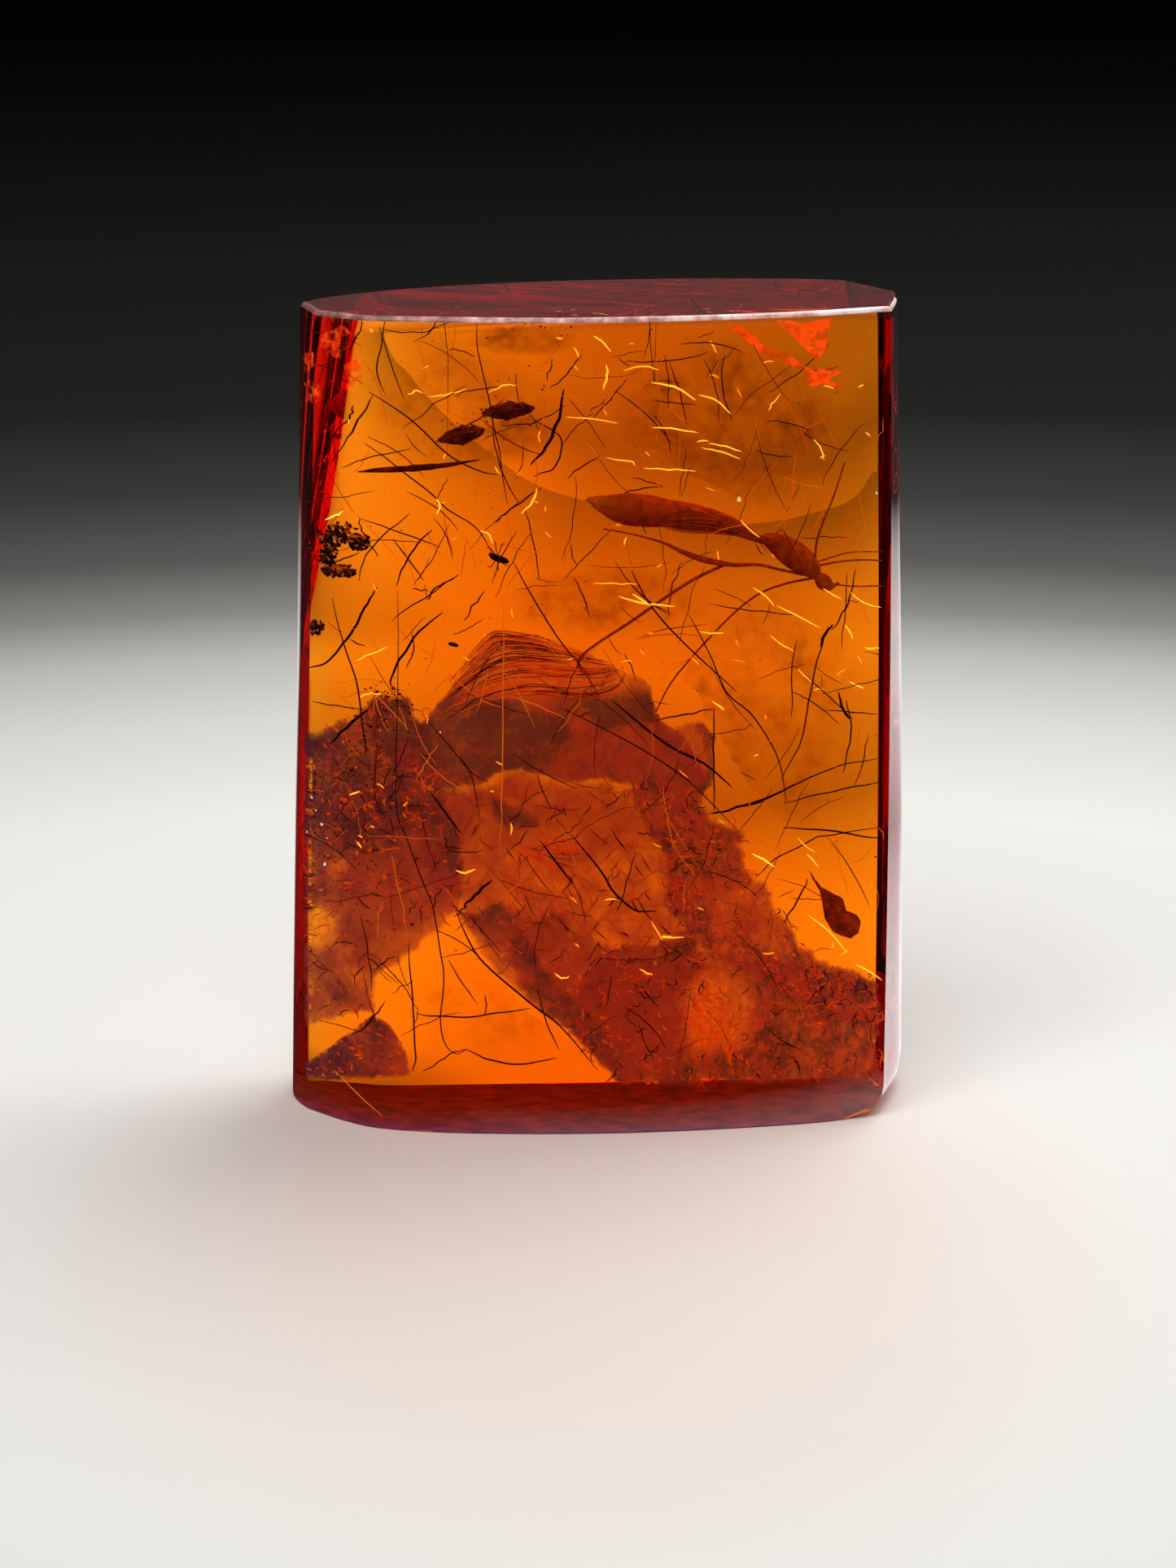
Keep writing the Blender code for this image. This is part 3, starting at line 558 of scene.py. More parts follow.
def effect_group(name):
    """A shader node group, made once: grain sizes in and a mottle from -1 to 1 out."""
    if name in bpy.data.node_groups:
        return bpy.data.node_groups[name]
    group = bpy.data.node_groups.new(name, "ShaderNodeTree")
    scale = group.interface.new_socket("Scale", in_out="INPUT", socket_type="NodeSocketFloat")
    scale.default_value = 1500.0
    stretch = group.interface.new_socket("Stretch", in_out="INPUT", socket_type="NodeSocketVector")
    stretch.default_value = (1.0, 1.0, 1.0)
    group.interface.new_socket("Mottle", in_out="OUTPUT", socket_type="NodeSocketFloat")
    return group


def mottle_group():
    """Soft mottling of bark, shell and soil: a value from -1 to 1 at any scale."""
    group = effect_group("mottle")
    nodes, links = group.nodes, group.links
    if nodes:
        return group
    start, end = nodes.new("NodeGroupInput"), nodes.new("NodeGroupOutput")
    place = nodes.new("ShaderNodeTexCoord")
    turn = nodes.new("ShaderNodeVectorMath")
    turn.operation = "MULTIPLY"
    texture = nodes.new("ShaderNodeTexNoise")
    texture.inputs["Detail"].default_value = 3.0
    texture.inputs["Roughness"].default_value = 0.62
    spread = nodes.new("ShaderNodeMapRange")
    spread.inputs["From Min"].default_value = 0.3
    spread.inputs["From Max"].default_value = 0.7
    spread.inputs["To Min"].default_value = -1.0
    links.new(place.outputs["Object"], turn.inputs[0])
    links.new(start.outputs["Stretch"], turn.inputs[1])
    links.new(turn.outputs["Vector"], texture.inputs["Vector"])
    links.new(start.outputs["Scale"], texture.inputs["Scale"])
    links.new(texture.outputs["Fac"], spread.inputs["Value"])
    links.new(spread.outputs["Result"], end.inputs["Mottle"])
    return group


def add_mottle(nodes, scale, stretch=(1.0, 1.0, 1.0)):
    """A mottle node in a material; returns its output."""
    node = nodes.new("ShaderNodeGroup")
    node.node_tree = mottle_group()
    node.inputs["Scale"].default_value = scale
    node.inputs["Stretch"].default_value = stretch
    return node.outputs["Mottle"]


def add_mask(nodes, name):
    """An attribute of the mesh; returns its output."""
    node = nodes.new("ShaderNodeAttribute")
    node.attribute_name = name
    return node.outputs["Fac"]


def add_math(nodes, links, operation, first, second):
    """A math node fed by outputs or plain values; returns its output."""
    node = nodes.new("ShaderNodeMath")
    node.operation = operation
    for socket, value in zip(node.inputs, (first, second)):
        if isinstance(value, (int, float)):
            socket.default_value = value
        else:
            links.new(value, socket)
    return node.outputs["Value"]


def add_ramp(nodes, links, factor, stops):
    """A colour ramp with (place, colour) stops; returns its output."""
    node = nodes.new("ShaderNodeValToRGB")
    ramp = node.color_ramp
    ramp.elements[0].position, ramp.elements[0].color = stops[0][0], (*stops[0][1], 1.0)
    ramp.elements[1].position, ramp.elements[1].color = stops[-1][0], (*stops[-1][1], 1.0)
    for place, colour in stops[1:-1]:
        ramp.elements.new(place).color = (*colour, 1.0)
    links.new(factor, node.inputs["Fac"])
    return node.outputs["Color"]


def amber_material(settings):
    """Clear amber: plain transmission, with the colour taken up in its depth."""
    material, nodes, links, shader = new_material("clear amber")
    shader.inputs["Base Color"].default_value = (1.0, 1.0, 1.0, 1.0)
    shader.inputs["Roughness"].default_value = 0.0
    shader.inputs["IOR"].default_value = IOR
    shader.inputs["Transmission Weight"].default_value = 1.0
    volume = nodes.new("ShaderNodeVolumeAbsorption")
    volume.inputs["Color"].default_value = (*settings.colour, 1.0)
    volume.inputs["Density"].default_value = settings.density
    links.new(volume.outputs["Volume"], nodes["Material Output"].inputs["Volume"])
    return material


def painted_highlight_material():
    """The front edge of the top with a painted highlight: pale pink-white and rough, paler towards the right."""
    material, nodes, links, shader = new_material("painted edge highlight")
    place = nodes.new("ShaderNodeTexCoord")
    split = nodes.new("ShaderNodeSeparateXYZ")
    links.new(place.outputs["Object"], split.inputs["Vector"])
    across = nodes.new("ShaderNodeMapRange")
    across.inputs["From Min"].default_value = -0.012
    across.inputs["From Max"].default_value = 0.011
    links.new(split.outputs["X"], across.inputs["Value"])
    mottle = add_math(nodes, links, "MULTIPLY", add_mottle(nodes, 1300.0), 0.5)
    total = add_math(nodes, links, "ADD", across.outputs["Result"], mottle)
    colour = add_ramp(nodes, links, total, (
        (0.0, (0.24, 0.10, 0.09)), (0.35, (0.50, 0.22, 0.19)), (0.7, (0.85, 0.50, 0.44)), (1.0, (1.0, 0.82, 0.80))))
    links.new(colour, shader.inputs["Base Color"])
    shader.inputs["Roughness"].default_value = 0.35
    return material


def foot_and_painted_glow_material():
    """The ground foot of the block: matt and dark red, with a faint painted glow as emission."""
    material, nodes, links, shader = new_material("ground foot")
    mottle = add_math(nodes, links, "MULTIPLY_ADD", add_mottle(nodes, 900.0), 0.6)
    mottle.node.inputs[2].default_value = 0.5
    links.new(add_ramp(nodes, links, mottle, ((0.0, (0.14, 0.035, 0.04)), (1.0, (0.50, 0.11, 0.10)))),
              shader.inputs["Base Color"])
    # Painted glow: a faint purplish emission.
    shader.inputs["Emission Color"].default_value = (0.030, 0.012, 0.06, 1.0)
    shader.inputs["Emission Strength"].default_value = 1.0
    shader.inputs["Roughness"].default_value = 0.8
    shader.inputs["Specular IOR Level"].default_value = 0.1
    return material


def fly_material(settings):
    """A dark shell, see-through where the mask says that it is thin."""
    material, nodes, links, shader = new_material("fly shell")
    mottle = add_mottle(nodes, 2600.0)
    factor = add_math(nodes, links, "MULTIPLY_ADD", mottle, 0.35)
    factor.node.inputs[2].default_value = 0.5
    low = tuple(channel * 0.45 for channel in settings.colour)
    high = tuple(min(1.0, channel * 1.6) for channel in settings.colour)
    links.new(add_ramp(nodes, links, factor, ((0.0, low), (0.5, tuple(settings.colour)), (1.0, high))),
              shader.inputs["Base Color"])
    thin = add_math(nodes, links, "MULTIPLY", add_mask(nodes, "thin"), 0.75)
    patchy = add_math(nodes, links, "MULTIPLY", add_mottle(nodes, 1100.0), 0.12)
    opaque = add_math(nodes, links, "SUBTRACT", 1.0, thin)
    links.new(add_math(nodes, links, "ADD", opaque, patchy), shader.inputs["Alpha"])
    shader.inputs["Roughness"].default_value = 0.5
    shader.inputs["Specular IOR Level"].default_value = 0.15
    return material


def film_with_painted_glow_material():
    """Torn bark in thin sheets: orange where it is thin, maroon to black where it is thick, with a faint painted bluish
    glow.
    """
    material, nodes, links, shader = new_material("bark film")
    shade, opacity = add_mask(nodes, "shade"), add_mask(nodes, "opacity")
    fine = add_math(nodes, links, "MULTIPLY", add_mottle(nodes, 3200.0), 0.14)
    coarse = add_math(nodes, links, "MULTIPLY", add_mottle(nodes, 700.0), 0.14)
    folds = add_math(nodes, links, "ABSOLUTE", add_mottle(nodes, 2300.0, (1.0, 1.0, 0.7)), 0.0)
    folds = add_math(nodes, links, "SUBTRACT", folds, 0.35)
    folds = add_math(nodes, links, "MULTIPLY", folds, add_mask(nodes, "wrinkle"))
    folds = add_math(nodes, links, "MULTIPLY", folds, 0.55)
    vein = nodes.new("ShaderNodeMapRange")
    vein.inputs["From Min"].default_value = 0.0
    vein.inputs["From Max"].default_value = 0.07
    vein.inputs["To Min"].default_value = 0.30
    vein.inputs["To Max"].default_value = 0.0
    links.new(add_math(nodes, links, "ABSOLUTE", add_mottle(nodes, 620.0, (1.0, 1.0, 0.8)), 0.0),
              vein.inputs["Value"])
    veins = add_math(nodes, links, "MULTIPLY", vein.outputs["Result"], add_mask(nodes, "wrinkle"))
    place = nodes.new("ShaderNodeTexCoord")
    cells = nodes.new("ShaderNodeTexVoronoi")
    cells.feature = "DISTANCE_TO_EDGE"
    cells.inputs["Scale"].default_value = 780.0
    links.new(place.outputs["Object"], cells.inputs["Vector"])
    line = nodes.new("ShaderNodeMapRange")
    line.inputs["From Min"].default_value = 0.015
    line.inputs["From Max"].default_value = 0.05
    line.inputs["To Min"].default_value = 0.6
    line.inputs["To Max"].default_value = 0.0
    links.new(cells.outputs["Distance"], line.inputs["Value"])
    plates = nodes.new("ShaderNodeTexVoronoi")
    plates.inputs["Scale"].default_value = 780.0
    links.new(place.outputs["Object"], plates.inputs["Vector"])
    tones = nodes.new("ShaderNodeSeparateXYZ")
    links.new(plates.outputs["Color"], tones.inputs["Vector"])
    plate = add_math(nodes, links, "SUBTRACT", tones.outputs["X"], 0.5)
    plate = add_math(nodes, links, "MULTIPLY", plate, add_mask(nodes, "crackle"))
    plate = add_math(nodes, links, "MULTIPLY", plate, 0.35)
    crackle = add_math(nodes, links, "MULTIPLY", line.outputs["Result"], add_mask(nodes, "crackle"))
    total = add_math(nodes, links, "ADD", shade, fine)
    total = add_math(nodes, links, "ADD", total, coarse)
    total = add_math(nodes, links, "SUBTRACT", total, folds)
    total = add_math(nodes, links, "ADD", total, crackle)
    total = add_math(nodes, links, "ADD", total, plate)
    total = add_math(nodes, links, "SUBTRACT", total, veins)
    colour = add_ramp(nodes, links, total, (
        (0.0, (1.0, 0.46, 0.06)), (0.3, (1.0, 0.26, 0.06)), (0.55, (0.98, 0.17, 0.07)),
        (0.8, (0.70, 0.12, 0.07)), (1.0, (0.24, 0.05, 0.03))))
    links.new(colour, shader.inputs["Base Color"])
    # Painted glow: a faint bluish emission, weaker towards the far left of the block (by X, not by depth).
    split = nodes.new("ShaderNodeSeparateXYZ")
    links.new(place.outputs["Object"], split.inputs["Vector"])
    depth = nodes.new("ShaderNodeMapRange")
    depth.inputs["From Min"].default_value = -0.012
    depth.inputs["From Max"].default_value = -0.006
    links.new(split.outputs["X"], depth.inputs["Value"])
    links.new(add_ramp(nodes, links, depth.outputs["Result"], (
        (0.0, (0.025, 0.010, 0.035)), (1.0, (0.055, 0.030, 0.18)))), shader.inputs["Emission Color"])
    shader.inputs["Emission Strength"].default_value = 1.0
    clear = add_math(nodes, links, "MULTIPLY", folds, -0.4)
    alpha = add_math(nodes, links, "ADD", opacity, clear)
    alpha = add_math(nodes, links, "ADD", alpha, add_math(nodes, links, "MULTIPLY", crackle, 0.6))
    alpha = add_math(nodes, links, "ADD", alpha, coarse)
    alpha = add_math(nodes, links, "ADD", alpha, plate)
    links.new(alpha, shader.inputs["Alpha"])
    bump = nodes.new("ShaderNodeBump")
    bump.inputs["Strength"].default_value = 0.5
    bump.inputs["Distance"].default_value = 0.0001
    links.new(total, bump.inputs["Height"])
    links.new(bump.outputs["Normal"], shader.inputs["Normal"])
    shader.inputs["Roughness"].default_value = 0.6
    shader.inputs["Specular IOR Level"].default_value = 0.1
    return material


def veil_material():
    """A faint cloud in the amber, finely mottled."""
    material, nodes, links, shader = new_material("tinting veil")
    total = add_math(nodes, links, "ADD", add_mask(nodes, "shade"),
                     add_math(nodes, links, "MULTIPLY", add_mottle(nodes, 900.0), 0.15))
    colour = add_ramp(nodes, links, total, (
        (0.0, (1.0, 0.60, 0.12)), (0.5, (0.75, 0.22, 0.05)), (1.0, (0.20, 0.06, 0.02))))
    links.new(colour, shader.inputs["Base Color"])
    fine = add_math(nodes, links, "MULTIPLY_ADD", add_mottle(nodes, 2600.0), 0.35)
    fine.node.inputs[2].default_value = 1.0
    links.new(add_math(nodes, links, "MULTIPLY", add_mask(nodes, "opacity"), fine), shader.inputs["Alpha"])
    shader.inputs["Roughness"].default_value = 0.7
    shader.inputs["Specular IOR Level"].default_value = 0.0
    return material


def strand_material(name, painted_glow):
    """Hairs and glints: black over brown to gold as the tone rises, with a painted glow as emission."""
    material, nodes, links, shader = new_material(name)
    tone = add_mask(nodes, "tone")
    mottle = add_math(nodes, links, "MULTIPLY", add_mottle(nodes, 1800.0), 0.06)
    total = add_math(nodes, links, "ADD", tone, mottle)
    colour = add_ramp(nodes, links, total, (
        (0.0, (0.012, 0.004, 0.002)), (0.2, (0.14, 0.025, 0.008)), (0.45, (0.9, 0.12, 0.05)),
        (0.65, (1.0, 0.30, 0.03)), (0.85, (1.0, 0.42, 0.035)), (1.0, (1.0, 0.58, 0.09))))
    links.new(colour, shader.inputs["Base Color"])
    links.new(colour, shader.inputs["Emission Color"])
    shader.inputs["Emission Strength"].default_value = painted_glow
    shader.inputs["Roughness"].default_value = 0.5
    shader.inputs["Specular IOR Level"].default_value = 0.1
    return material


def crack_material():
    """Cracks in the upper corners, bright red from a painted glow as emission."""
    material, nodes, links, shader = new_material("corner cracks")
    mottle = add_math(nodes, links, "MULTIPLY", add_mottle(nodes, 2200.0), 0.9)
    total = add_math(nodes, links, "ADD", add_mask(nodes, "tone"), mottle)
    colour = add_ramp(nodes, links, total, (
        (0.0, (0.20, 0.015, 0.008)), (0.5, (0.85, 0.05, 0.008)), (1.0, (1.0, 0.12, 0.010))))
    links.new(colour, shader.inputs["Base Color"])
    links.new(colour, shader.inputs["Emission Color"])
    links.new(add_math(nodes, links, "MULTIPLY", total, 0.7), shader.inputs["Alpha"])
    # Painted glow: the cracks' brightness is emission.
    shader.inputs["Emission Strength"].default_value = 0.62
    shader.inputs["Specular IOR Level"].default_value = 0.1
    shader.inputs["Roughness"].default_value = 0.4
    return material


def scrap_material(name, colour, alpha):
    """Leaf, wood and husk: a dark mottled skin."""
    material, nodes, links, shader = new_material(name)
    factor = add_math(nodes, links, "MULTIPLY_ADD", add_mottle(nodes, 2200.0), 0.5)
    factor.node.inputs[2].default_value = 0.5
    low = tuple(channel * 0.35 for channel in colour)
    high = tuple(min(1.0, channel * 2.2) for channel in colour)
    links.new(add_ramp(nodes, links, factor, ((0.0, low), (0.5, colour), (1.0, high))), shader.inputs["Base Color"])
    bump = nodes.new("ShaderNodeBump")
    bump.inputs["Distance"].default_value = 0.0001
    bump.inputs["Strength"].default_value = 0.6
    links.new(add_mottle(nodes, 3000.0), bump.inputs["Height"])
    links.new(bump.outputs["Normal"], shader.inputs["Normal"])
    shader.inputs["Alpha"].default_value = alpha
    shader.inputs["Roughness"].default_value = 0.6
    shader.inputs["Specular IOR Level"].default_value = 0.1
    return material


def grain_material():
    """Soil and bark dust: black over brown and orange to white as the tone rises; the whitest grains get a painted
    glow.
    """
    material, nodes, links, shader = new_material("soil")
    tone = add_math(nodes, links, "ADD", add_mask(nodes, "tone"),
                    add_math(nodes, links, "MULTIPLY", add_mottle(nodes, 2500.0), 0.05))
    colour = add_ramp(nodes, links, tone, (
        (0.0, (0.012, 0.009, 0.009)), (0.15, (0.12, 0.05, 0.03)), (0.35, (0.6, 0.10, 0.04)),
        (0.6, (1.0, 0.26, 0.05)), (0.8, (1.0, 0.7, 0.5)), (1.0, (1.0, 0.95, 0.9))))
    links.new(colour, shader.inputs["Base Color"])
    # Painted glow: the whitest grains shine by emission.
    painted_glow = nodes.new("ShaderNodeMapRange")
    painted_glow.inputs["From Min"].default_value = 0.75
    painted_glow.inputs["From Max"].default_value = 1.0
    links.new(tone, painted_glow.inputs["Value"])
    mix = nodes.new("ShaderNodeMix")
    mix.data_type = "RGBA"
    mix.inputs["A"].default_value = (0.0, 0.0, 0.0, 1.0)
    mix.inputs["B"].default_value = (0.9, 0.8, 0.75, 1.0)
    links.new(painted_glow.outputs["Result"], mix.inputs["Factor"])
    links.new(mix.outputs["Result"], shader.inputs["Emission Color"])
    shader.inputs["Emission Strength"].default_value = 0.8
    shader.inputs["Roughness"].default_value = 0.8
    shader.inputs["Specular IOR Level"].default_value = 0.05
    return material


def floor_material(settings):
    """A pale floor with painted light: it falls into the dark away from the object, has a painted warm glow in front of
    the amber, and a painted look of its own for glossy rays.
    """
    material, nodes, links, shader = new_material("pale floor")
    place = nodes.new("ShaderNodeTexCoord")
    length = nodes.new("ShaderNodeVectorMath")
    length.operation = "LENGTH"
    links.new(place.outputs["Object"], length.inputs[0])
    radius = add_math(nodes, links, "DIVIDE", length.outputs["Value"], settings.far_radius)
    stops = [(share, tuple(channel * light for channel in settings.floor_colour)) for share, light in PAINTED_FLOOR_FALLOFF]
    pale = add_ramp(nodes, links, radius, stops)

    # Painted warm glow in front of the amber.
    offset = nodes.new("ShaderNodeVectorMath")
    offset.operation = "MULTIPLY_ADD"
    offset.inputs[1].default_value = GLOW_SCALE
    offset.inputs[2].default_value = GLOW_PLACE
    reach = nodes.new("ShaderNodeVectorMath")
    reach.operation = "LENGTH"
    links.new(place.outputs["Object"], offset.inputs[0])
    links.new(offset.outputs["Vector"], reach.inputs[0])
    painted_glow = nodes.new("ShaderNodeMapRange")
    painted_glow.interpolation_type = "SMOOTHSTEP"
    painted_glow.inputs["From Min"].default_value = GLOW_REACH[0]
    painted_glow.inputs["From Max"].default_value = GLOW_REACH[1]
    links.new(reach.outputs["Value"], painted_glow.inputs["Value"])
    tint = add_ramp(nodes, links, painted_glow.outputs["Result"], ((0.0, GLOW_TINT), (1.0, (1.0, 1.0, 1.0))))
    warm = nodes.new("ShaderNodeMix")
    warm.data_type = "RGBA"
    warm.blend_type = "MULTIPLY"
    warm.inputs["Factor"].default_value = 1.0
    links.new(pale, warm.inputs["A"])
    links.new(tint, warm.inputs["B"])

    # Glossy rays see painted light instead: through the amber the floor is brighter further back and dimmed far to the
    # left, and painted shade keeps its reflection dark in the polish.
    through = add_ramp(nodes, links, radius, [(share, (light, light, light)) for share, light in PAINTED_THROUGH_LIGHT])
    split = nodes.new("ShaderNodeSeparateXYZ")
    links.new(place.outputs["Object"], split.inputs["Vector"])
    far = nodes.new("ShaderNodeMapRange")
    far.inputs["From Min"].default_value, far.inputs["From Max"].default_value = 0.085, 0.128
    far.inputs["To Max"].default_value = 0.42
    links.new(length.outputs["Value"], far.inputs["Value"])
    west = nodes.new("ShaderNodeMapRange")
    west.inputs["From Min"].default_value, west.inputs["From Max"].default_value = 0.012, -0.014
    links.new(split.outputs["X"], west.inputs["Value"])
    dim = nodes.new("ShaderNodeMix")
    dim.data_type = "RGBA"
    dim.inputs["B"].default_value = (0.0, 0.0, 0.0, 1.0)
    links.new(add_math(nodes, links, "MULTIPLY", far.outputs["Result"], west.outputs["Result"]),
              dim.inputs["Factor"])
    links.new(through, dim.inputs["A"])
    front = nodes.new("ShaderNodeMapRange")
    front.inputs["From Min"].default_value, front.inputs["From Max"].default_value = PAINTED_DARK_FRONT
    links.new(split.outputs["Y"], front.inputs["Value"])
    side = add_math(nodes, links, "MULTIPLY", split.outputs["Y"], -PAINTED_DARK_SLOPE)
    side = add_math(nodes, links, "SUBTRACT", side, split.outputs["X"])
    left = nodes.new("ShaderNodeMapRange")
    left.inputs["From Min"].default_value, left.inputs["From Max"].default_value = PAINTED_DARK_LEFT
    links.new(side, left.inputs["Value"])
    painted_dark = add_math(nodes, links, "MAXIMUM", front.outputs["Result"], left.outputs["Result"])
    painted_dark_mix = nodes.new("ShaderNodeMix")
    painted_dark_mix.data_type = "RGBA"
    painted_dark_mix.inputs["B"].default_value = (0.01, 0.01, 0.01, 1.0)
    links.new(painted_dark, painted_dark_mix.inputs["Factor"])
    links.new(dim.outputs["Result"], painted_dark_mix.inputs["A"])
    path = nodes.new("ShaderNodeLightPath")
    final = nodes.new("ShaderNodeMix")
    final.data_type = "RGBA"
    links.new(path.outputs["Is Glossy Ray"], final.inputs["Factor"])
    links.new(warm.outputs["Result"], final.inputs["A"])
    links.new(painted_dark_mix.outputs["Result"], final.inputs["B"])
    links.new(final.outputs["Result"], shader.inputs["Base Color"])
    shader.inputs["Roughness"].default_value = 0.9
    shader.inputs["Specular IOR Level"].default_value = 0.0
    return material


class AMBER_OT_add_block(bpy.types.Operator):
    """Add the polished block of clear amber"""

    bl_idname = "amber.add_block"
    bl_label = "Amber block"

    def execute(self, context):
        settings = context.scene.amber_block
        radius = settings.corner_radius / MM
        top = settings.height / MM
        levels = [radius * share for share in (0.15, 0.35, 0.65)]
        levels += [radius + (top - radius) * step / UPRIGHT_STEPS for step in range(UPRIGHT_STEPS)]
        foot, width = settings.foot_edge / MM, settings.edge_width / MM
        rings = [rounded(0.0, foot, settings), rounded(0.3 * foot, 0.3 * foot, settings)]
        rings += [block_ring(level, settings) for level in levels]
        for turn in (0.0, math.radians(30.0), math.radians(60.0), math.radians(90.0)):
            rings.append(rounded(top - width + width * math.sin(turn), width * (1.0 - math.cos(turn)), settings))
        shift = centring(rings)
        bpy.ops.object.select_all(action="DESELECT")
        bpy.ops.mesh.primitive_circle_add(vertices=len(rings[0]), radius=MM, fill_type="NGON")
        block = context.object
        block.name = "amber_block"
        bpy.ops.object.mode_set(mode="EDIT")
        for _ in rings[1:]:
            bpy.ops.mesh.extrude_region_move(TRANSFORM_OT_translate={"value": (0.0, 0.0, MM)})
        bpy.ops.object.mode_set(mode="OBJECT")
        half_step = math.pi / len(rings[0])
        low, high = CAD_BOX
        places = {}
        for number, ring in enumerate(rings):
            verts = [v for v in block.data.vertices if round(v.co.z / MM) == number]
            verts.sort(key=lambda v: (math.atan2(v.co.y, v.co.x) + math.pi + half_step) % (2 * math.pi))
            for vert, point in zip(verts, ring):
                block_point = (point + shift) * MM
                places[vert.index] = [min(max(c, a), b) for c, a, b in zip(block_point, low, high)]
        for index, place in places.items():
            block.data.vertices[index].co = place
        select_only(block)
        bpy.ops.object.mode_set(mode="EDIT")
        bpy.ops.mesh.select_all(action="SELECT")
        bpy.ops.mesh.normals_make_consistent(inside=False)
        bpy.ops.object.mode_set(mode="OBJECT")
        bpy.ops.object.shade_smooth_by_angle(angle=math.radians(32.0))
        for face in block.data.polygons:
            face.use_smooth = abs(face.normal.z) < 0.99
        Amber.middle = (Vector((0.0, PARTING_Y, 0.0)) + shift) * MM
        surface = bmesh.new()
        surface.from_mesh(block.data)
        Amber.surface = BVHTree.FromBMesh(surface)
        surface.free()
        finish_piece(block, amber_material(settings), "amber", "amber_front", "amber_back")
        block.data.materials.append(painted_highlight_material())
        block.data.materials.append(foot_and_painted_glow_material())
        # The top front bevel takes the painted edge highlight.
        crest = settings.height - 0.98 * settings.edge_width
        for face in block.data.polygons:
            if face.center.z > crest and face.normal.y < -0.05:
                face.material_index = 1
            # The flat underside takes the ground foot with its painted glow.
            elif face.normal.z < -0.99:
                face.material_index = 2
        return {"FINISHED"}


# Meshes


def mesh_object(name, verts, faces, masks=None):
    """A smooth mesh object from points in metres, with its masks as point attributes."""
    mesh = bpy.data.meshes.new(name)
    mesh.from_pydata([tuple(v) for v in verts], [], faces)
    for label, values in (masks or {}).items():
        layer = mesh.attributes.new(label, "FLOAT", "POINT")
        layer.data.foreach_set("value", np.array(values, dtype=np.float32))
    obj = bpy.data.objects.new(name, mesh)
    bpy.context.scene.collection.objects.link(obj)
    select_only(obj)
    bpy.ops.object.mode_set(mode="EDIT")
    bpy.ops.mesh.select_all(action="SELECT")
    bpy.ops.mesh.normals_make_consistent(inside=False)
    bpy.ops.object.mode_set(mode="OBJECT")
    bpy.ops.object.shade_smooth_by_angle(angle=math.radians(40.0))
    return obj


def join_all(name, objects):
    """Join objects into the first one and name it."""
    bpy.ops.object.select_all(action="DESELECT")
    for obj in objects:
        obj.select_set(True)
    bpy.context.view_layer.objects.active = objects[0]
    bpy.ops.object.join()
    objects[0].name = name
    return objects[0]


def curve_through(points, steps):
    """A smooth curve through points of any length, with its last point."""
    return spline(points, steps) + [Vector(points[-1])]


def tube(points, radii, sides, flat=1.0):
    """Verts and faces of a closed tube along points in metres; flat narrows it in depth."""
    verts, faces = [], []
    for i, point in enumerate(points):
        ahead = (points[min(i + 1, len(points) - 1)] - points[max(i - 1, 0)]).normalized()
        side = ahead.cross(Amber.inward).normalized()
        out = side.cross(ahead).normalized()
        for k in range(sides):
            turn = 2 * math.pi * k / sides
            verts.append(point + side * radii[i] * math.cos(turn) + out * radii[i] * flat * math.sin(turn))
    for i in range(len(points) - 1):
        for k in range(sides):
            m = (k + 1) % sides
            faces.append((i * sides + k, i * sides + m, (i + 1) * sides + m, (i + 1) * sides + k))
    faces.append(tuple(reversed(range(sides))))
    faces.append(tuple(range((len(points) - 1) * sides, len(points) * sides)))
    return verts, faces


class Strands:
    """Hairs, fibres and glints gathered into one mesh, each with a tone of its own."""

    def __init__(self):
        self.verts, self.faces, self.tones = [], [], []

    def add(self, points, radii, tone, sides=5, flat=1.0):
        verts, faces = tube(points, radii, sides, flat)
        base = len(self.verts)
        self.verts += verts
        self.faces += [tuple(base + i for i in face) for face in faces]
        self.tones += [tone] * len(verts)

    def add_seen(self, places, depths, radius, tone, steps=10, blunt=0.35, sides=5, flat=1.0, wander=0.0):
        """A strand through points of the photograph, between two depths in mm, thin at its ends."""
        curve = curve_through(places, steps)
        seed = Vector((curve[0].x * 0.37, curve[0].y * 0.53, 0.0))
        points, radii = [], []
        for i, place in enumerate(curve):
            t = i / (len(curve) - 1)
            shift = wander * noise.noise(seed + Vector((t * 5.0, 0.0, 0.0)))
            px = min(max(place[0] + shift, AMBER_LEFT), AMBER_RIGHT)
            points.append(Amber.seen(px, place[1] + shift, depths[0] + (depths[1] - depths[0]) * t))
            radii.append(radius * MM * (blunt + (1.0 - blunt) * math.sin(math.pi * t) ** 0.5))
        self.add(points, radii, tone, sides, flat)

    def make(self, name):
        return mesh_object(name, self.verts, self.faces, {"tone": self.tones})


def inside_outline(outline, xs, ys):
    """Which of the points lie inside an outline."""
    inside = np.zeros(xs.shape, dtype=bool)
    for (ax, ay), (bx, by) in zip(outline, outline[1:] + outline[:1]):
        crosses = (ay > ys) != (by > ys)
        with np.errstate(divide="ignore", invalid="ignore"):
            reach = ax + (ys - ay) * (bx - ax) / (by - ay)
        inside ^= crosses & (xs < reach)
    return inside


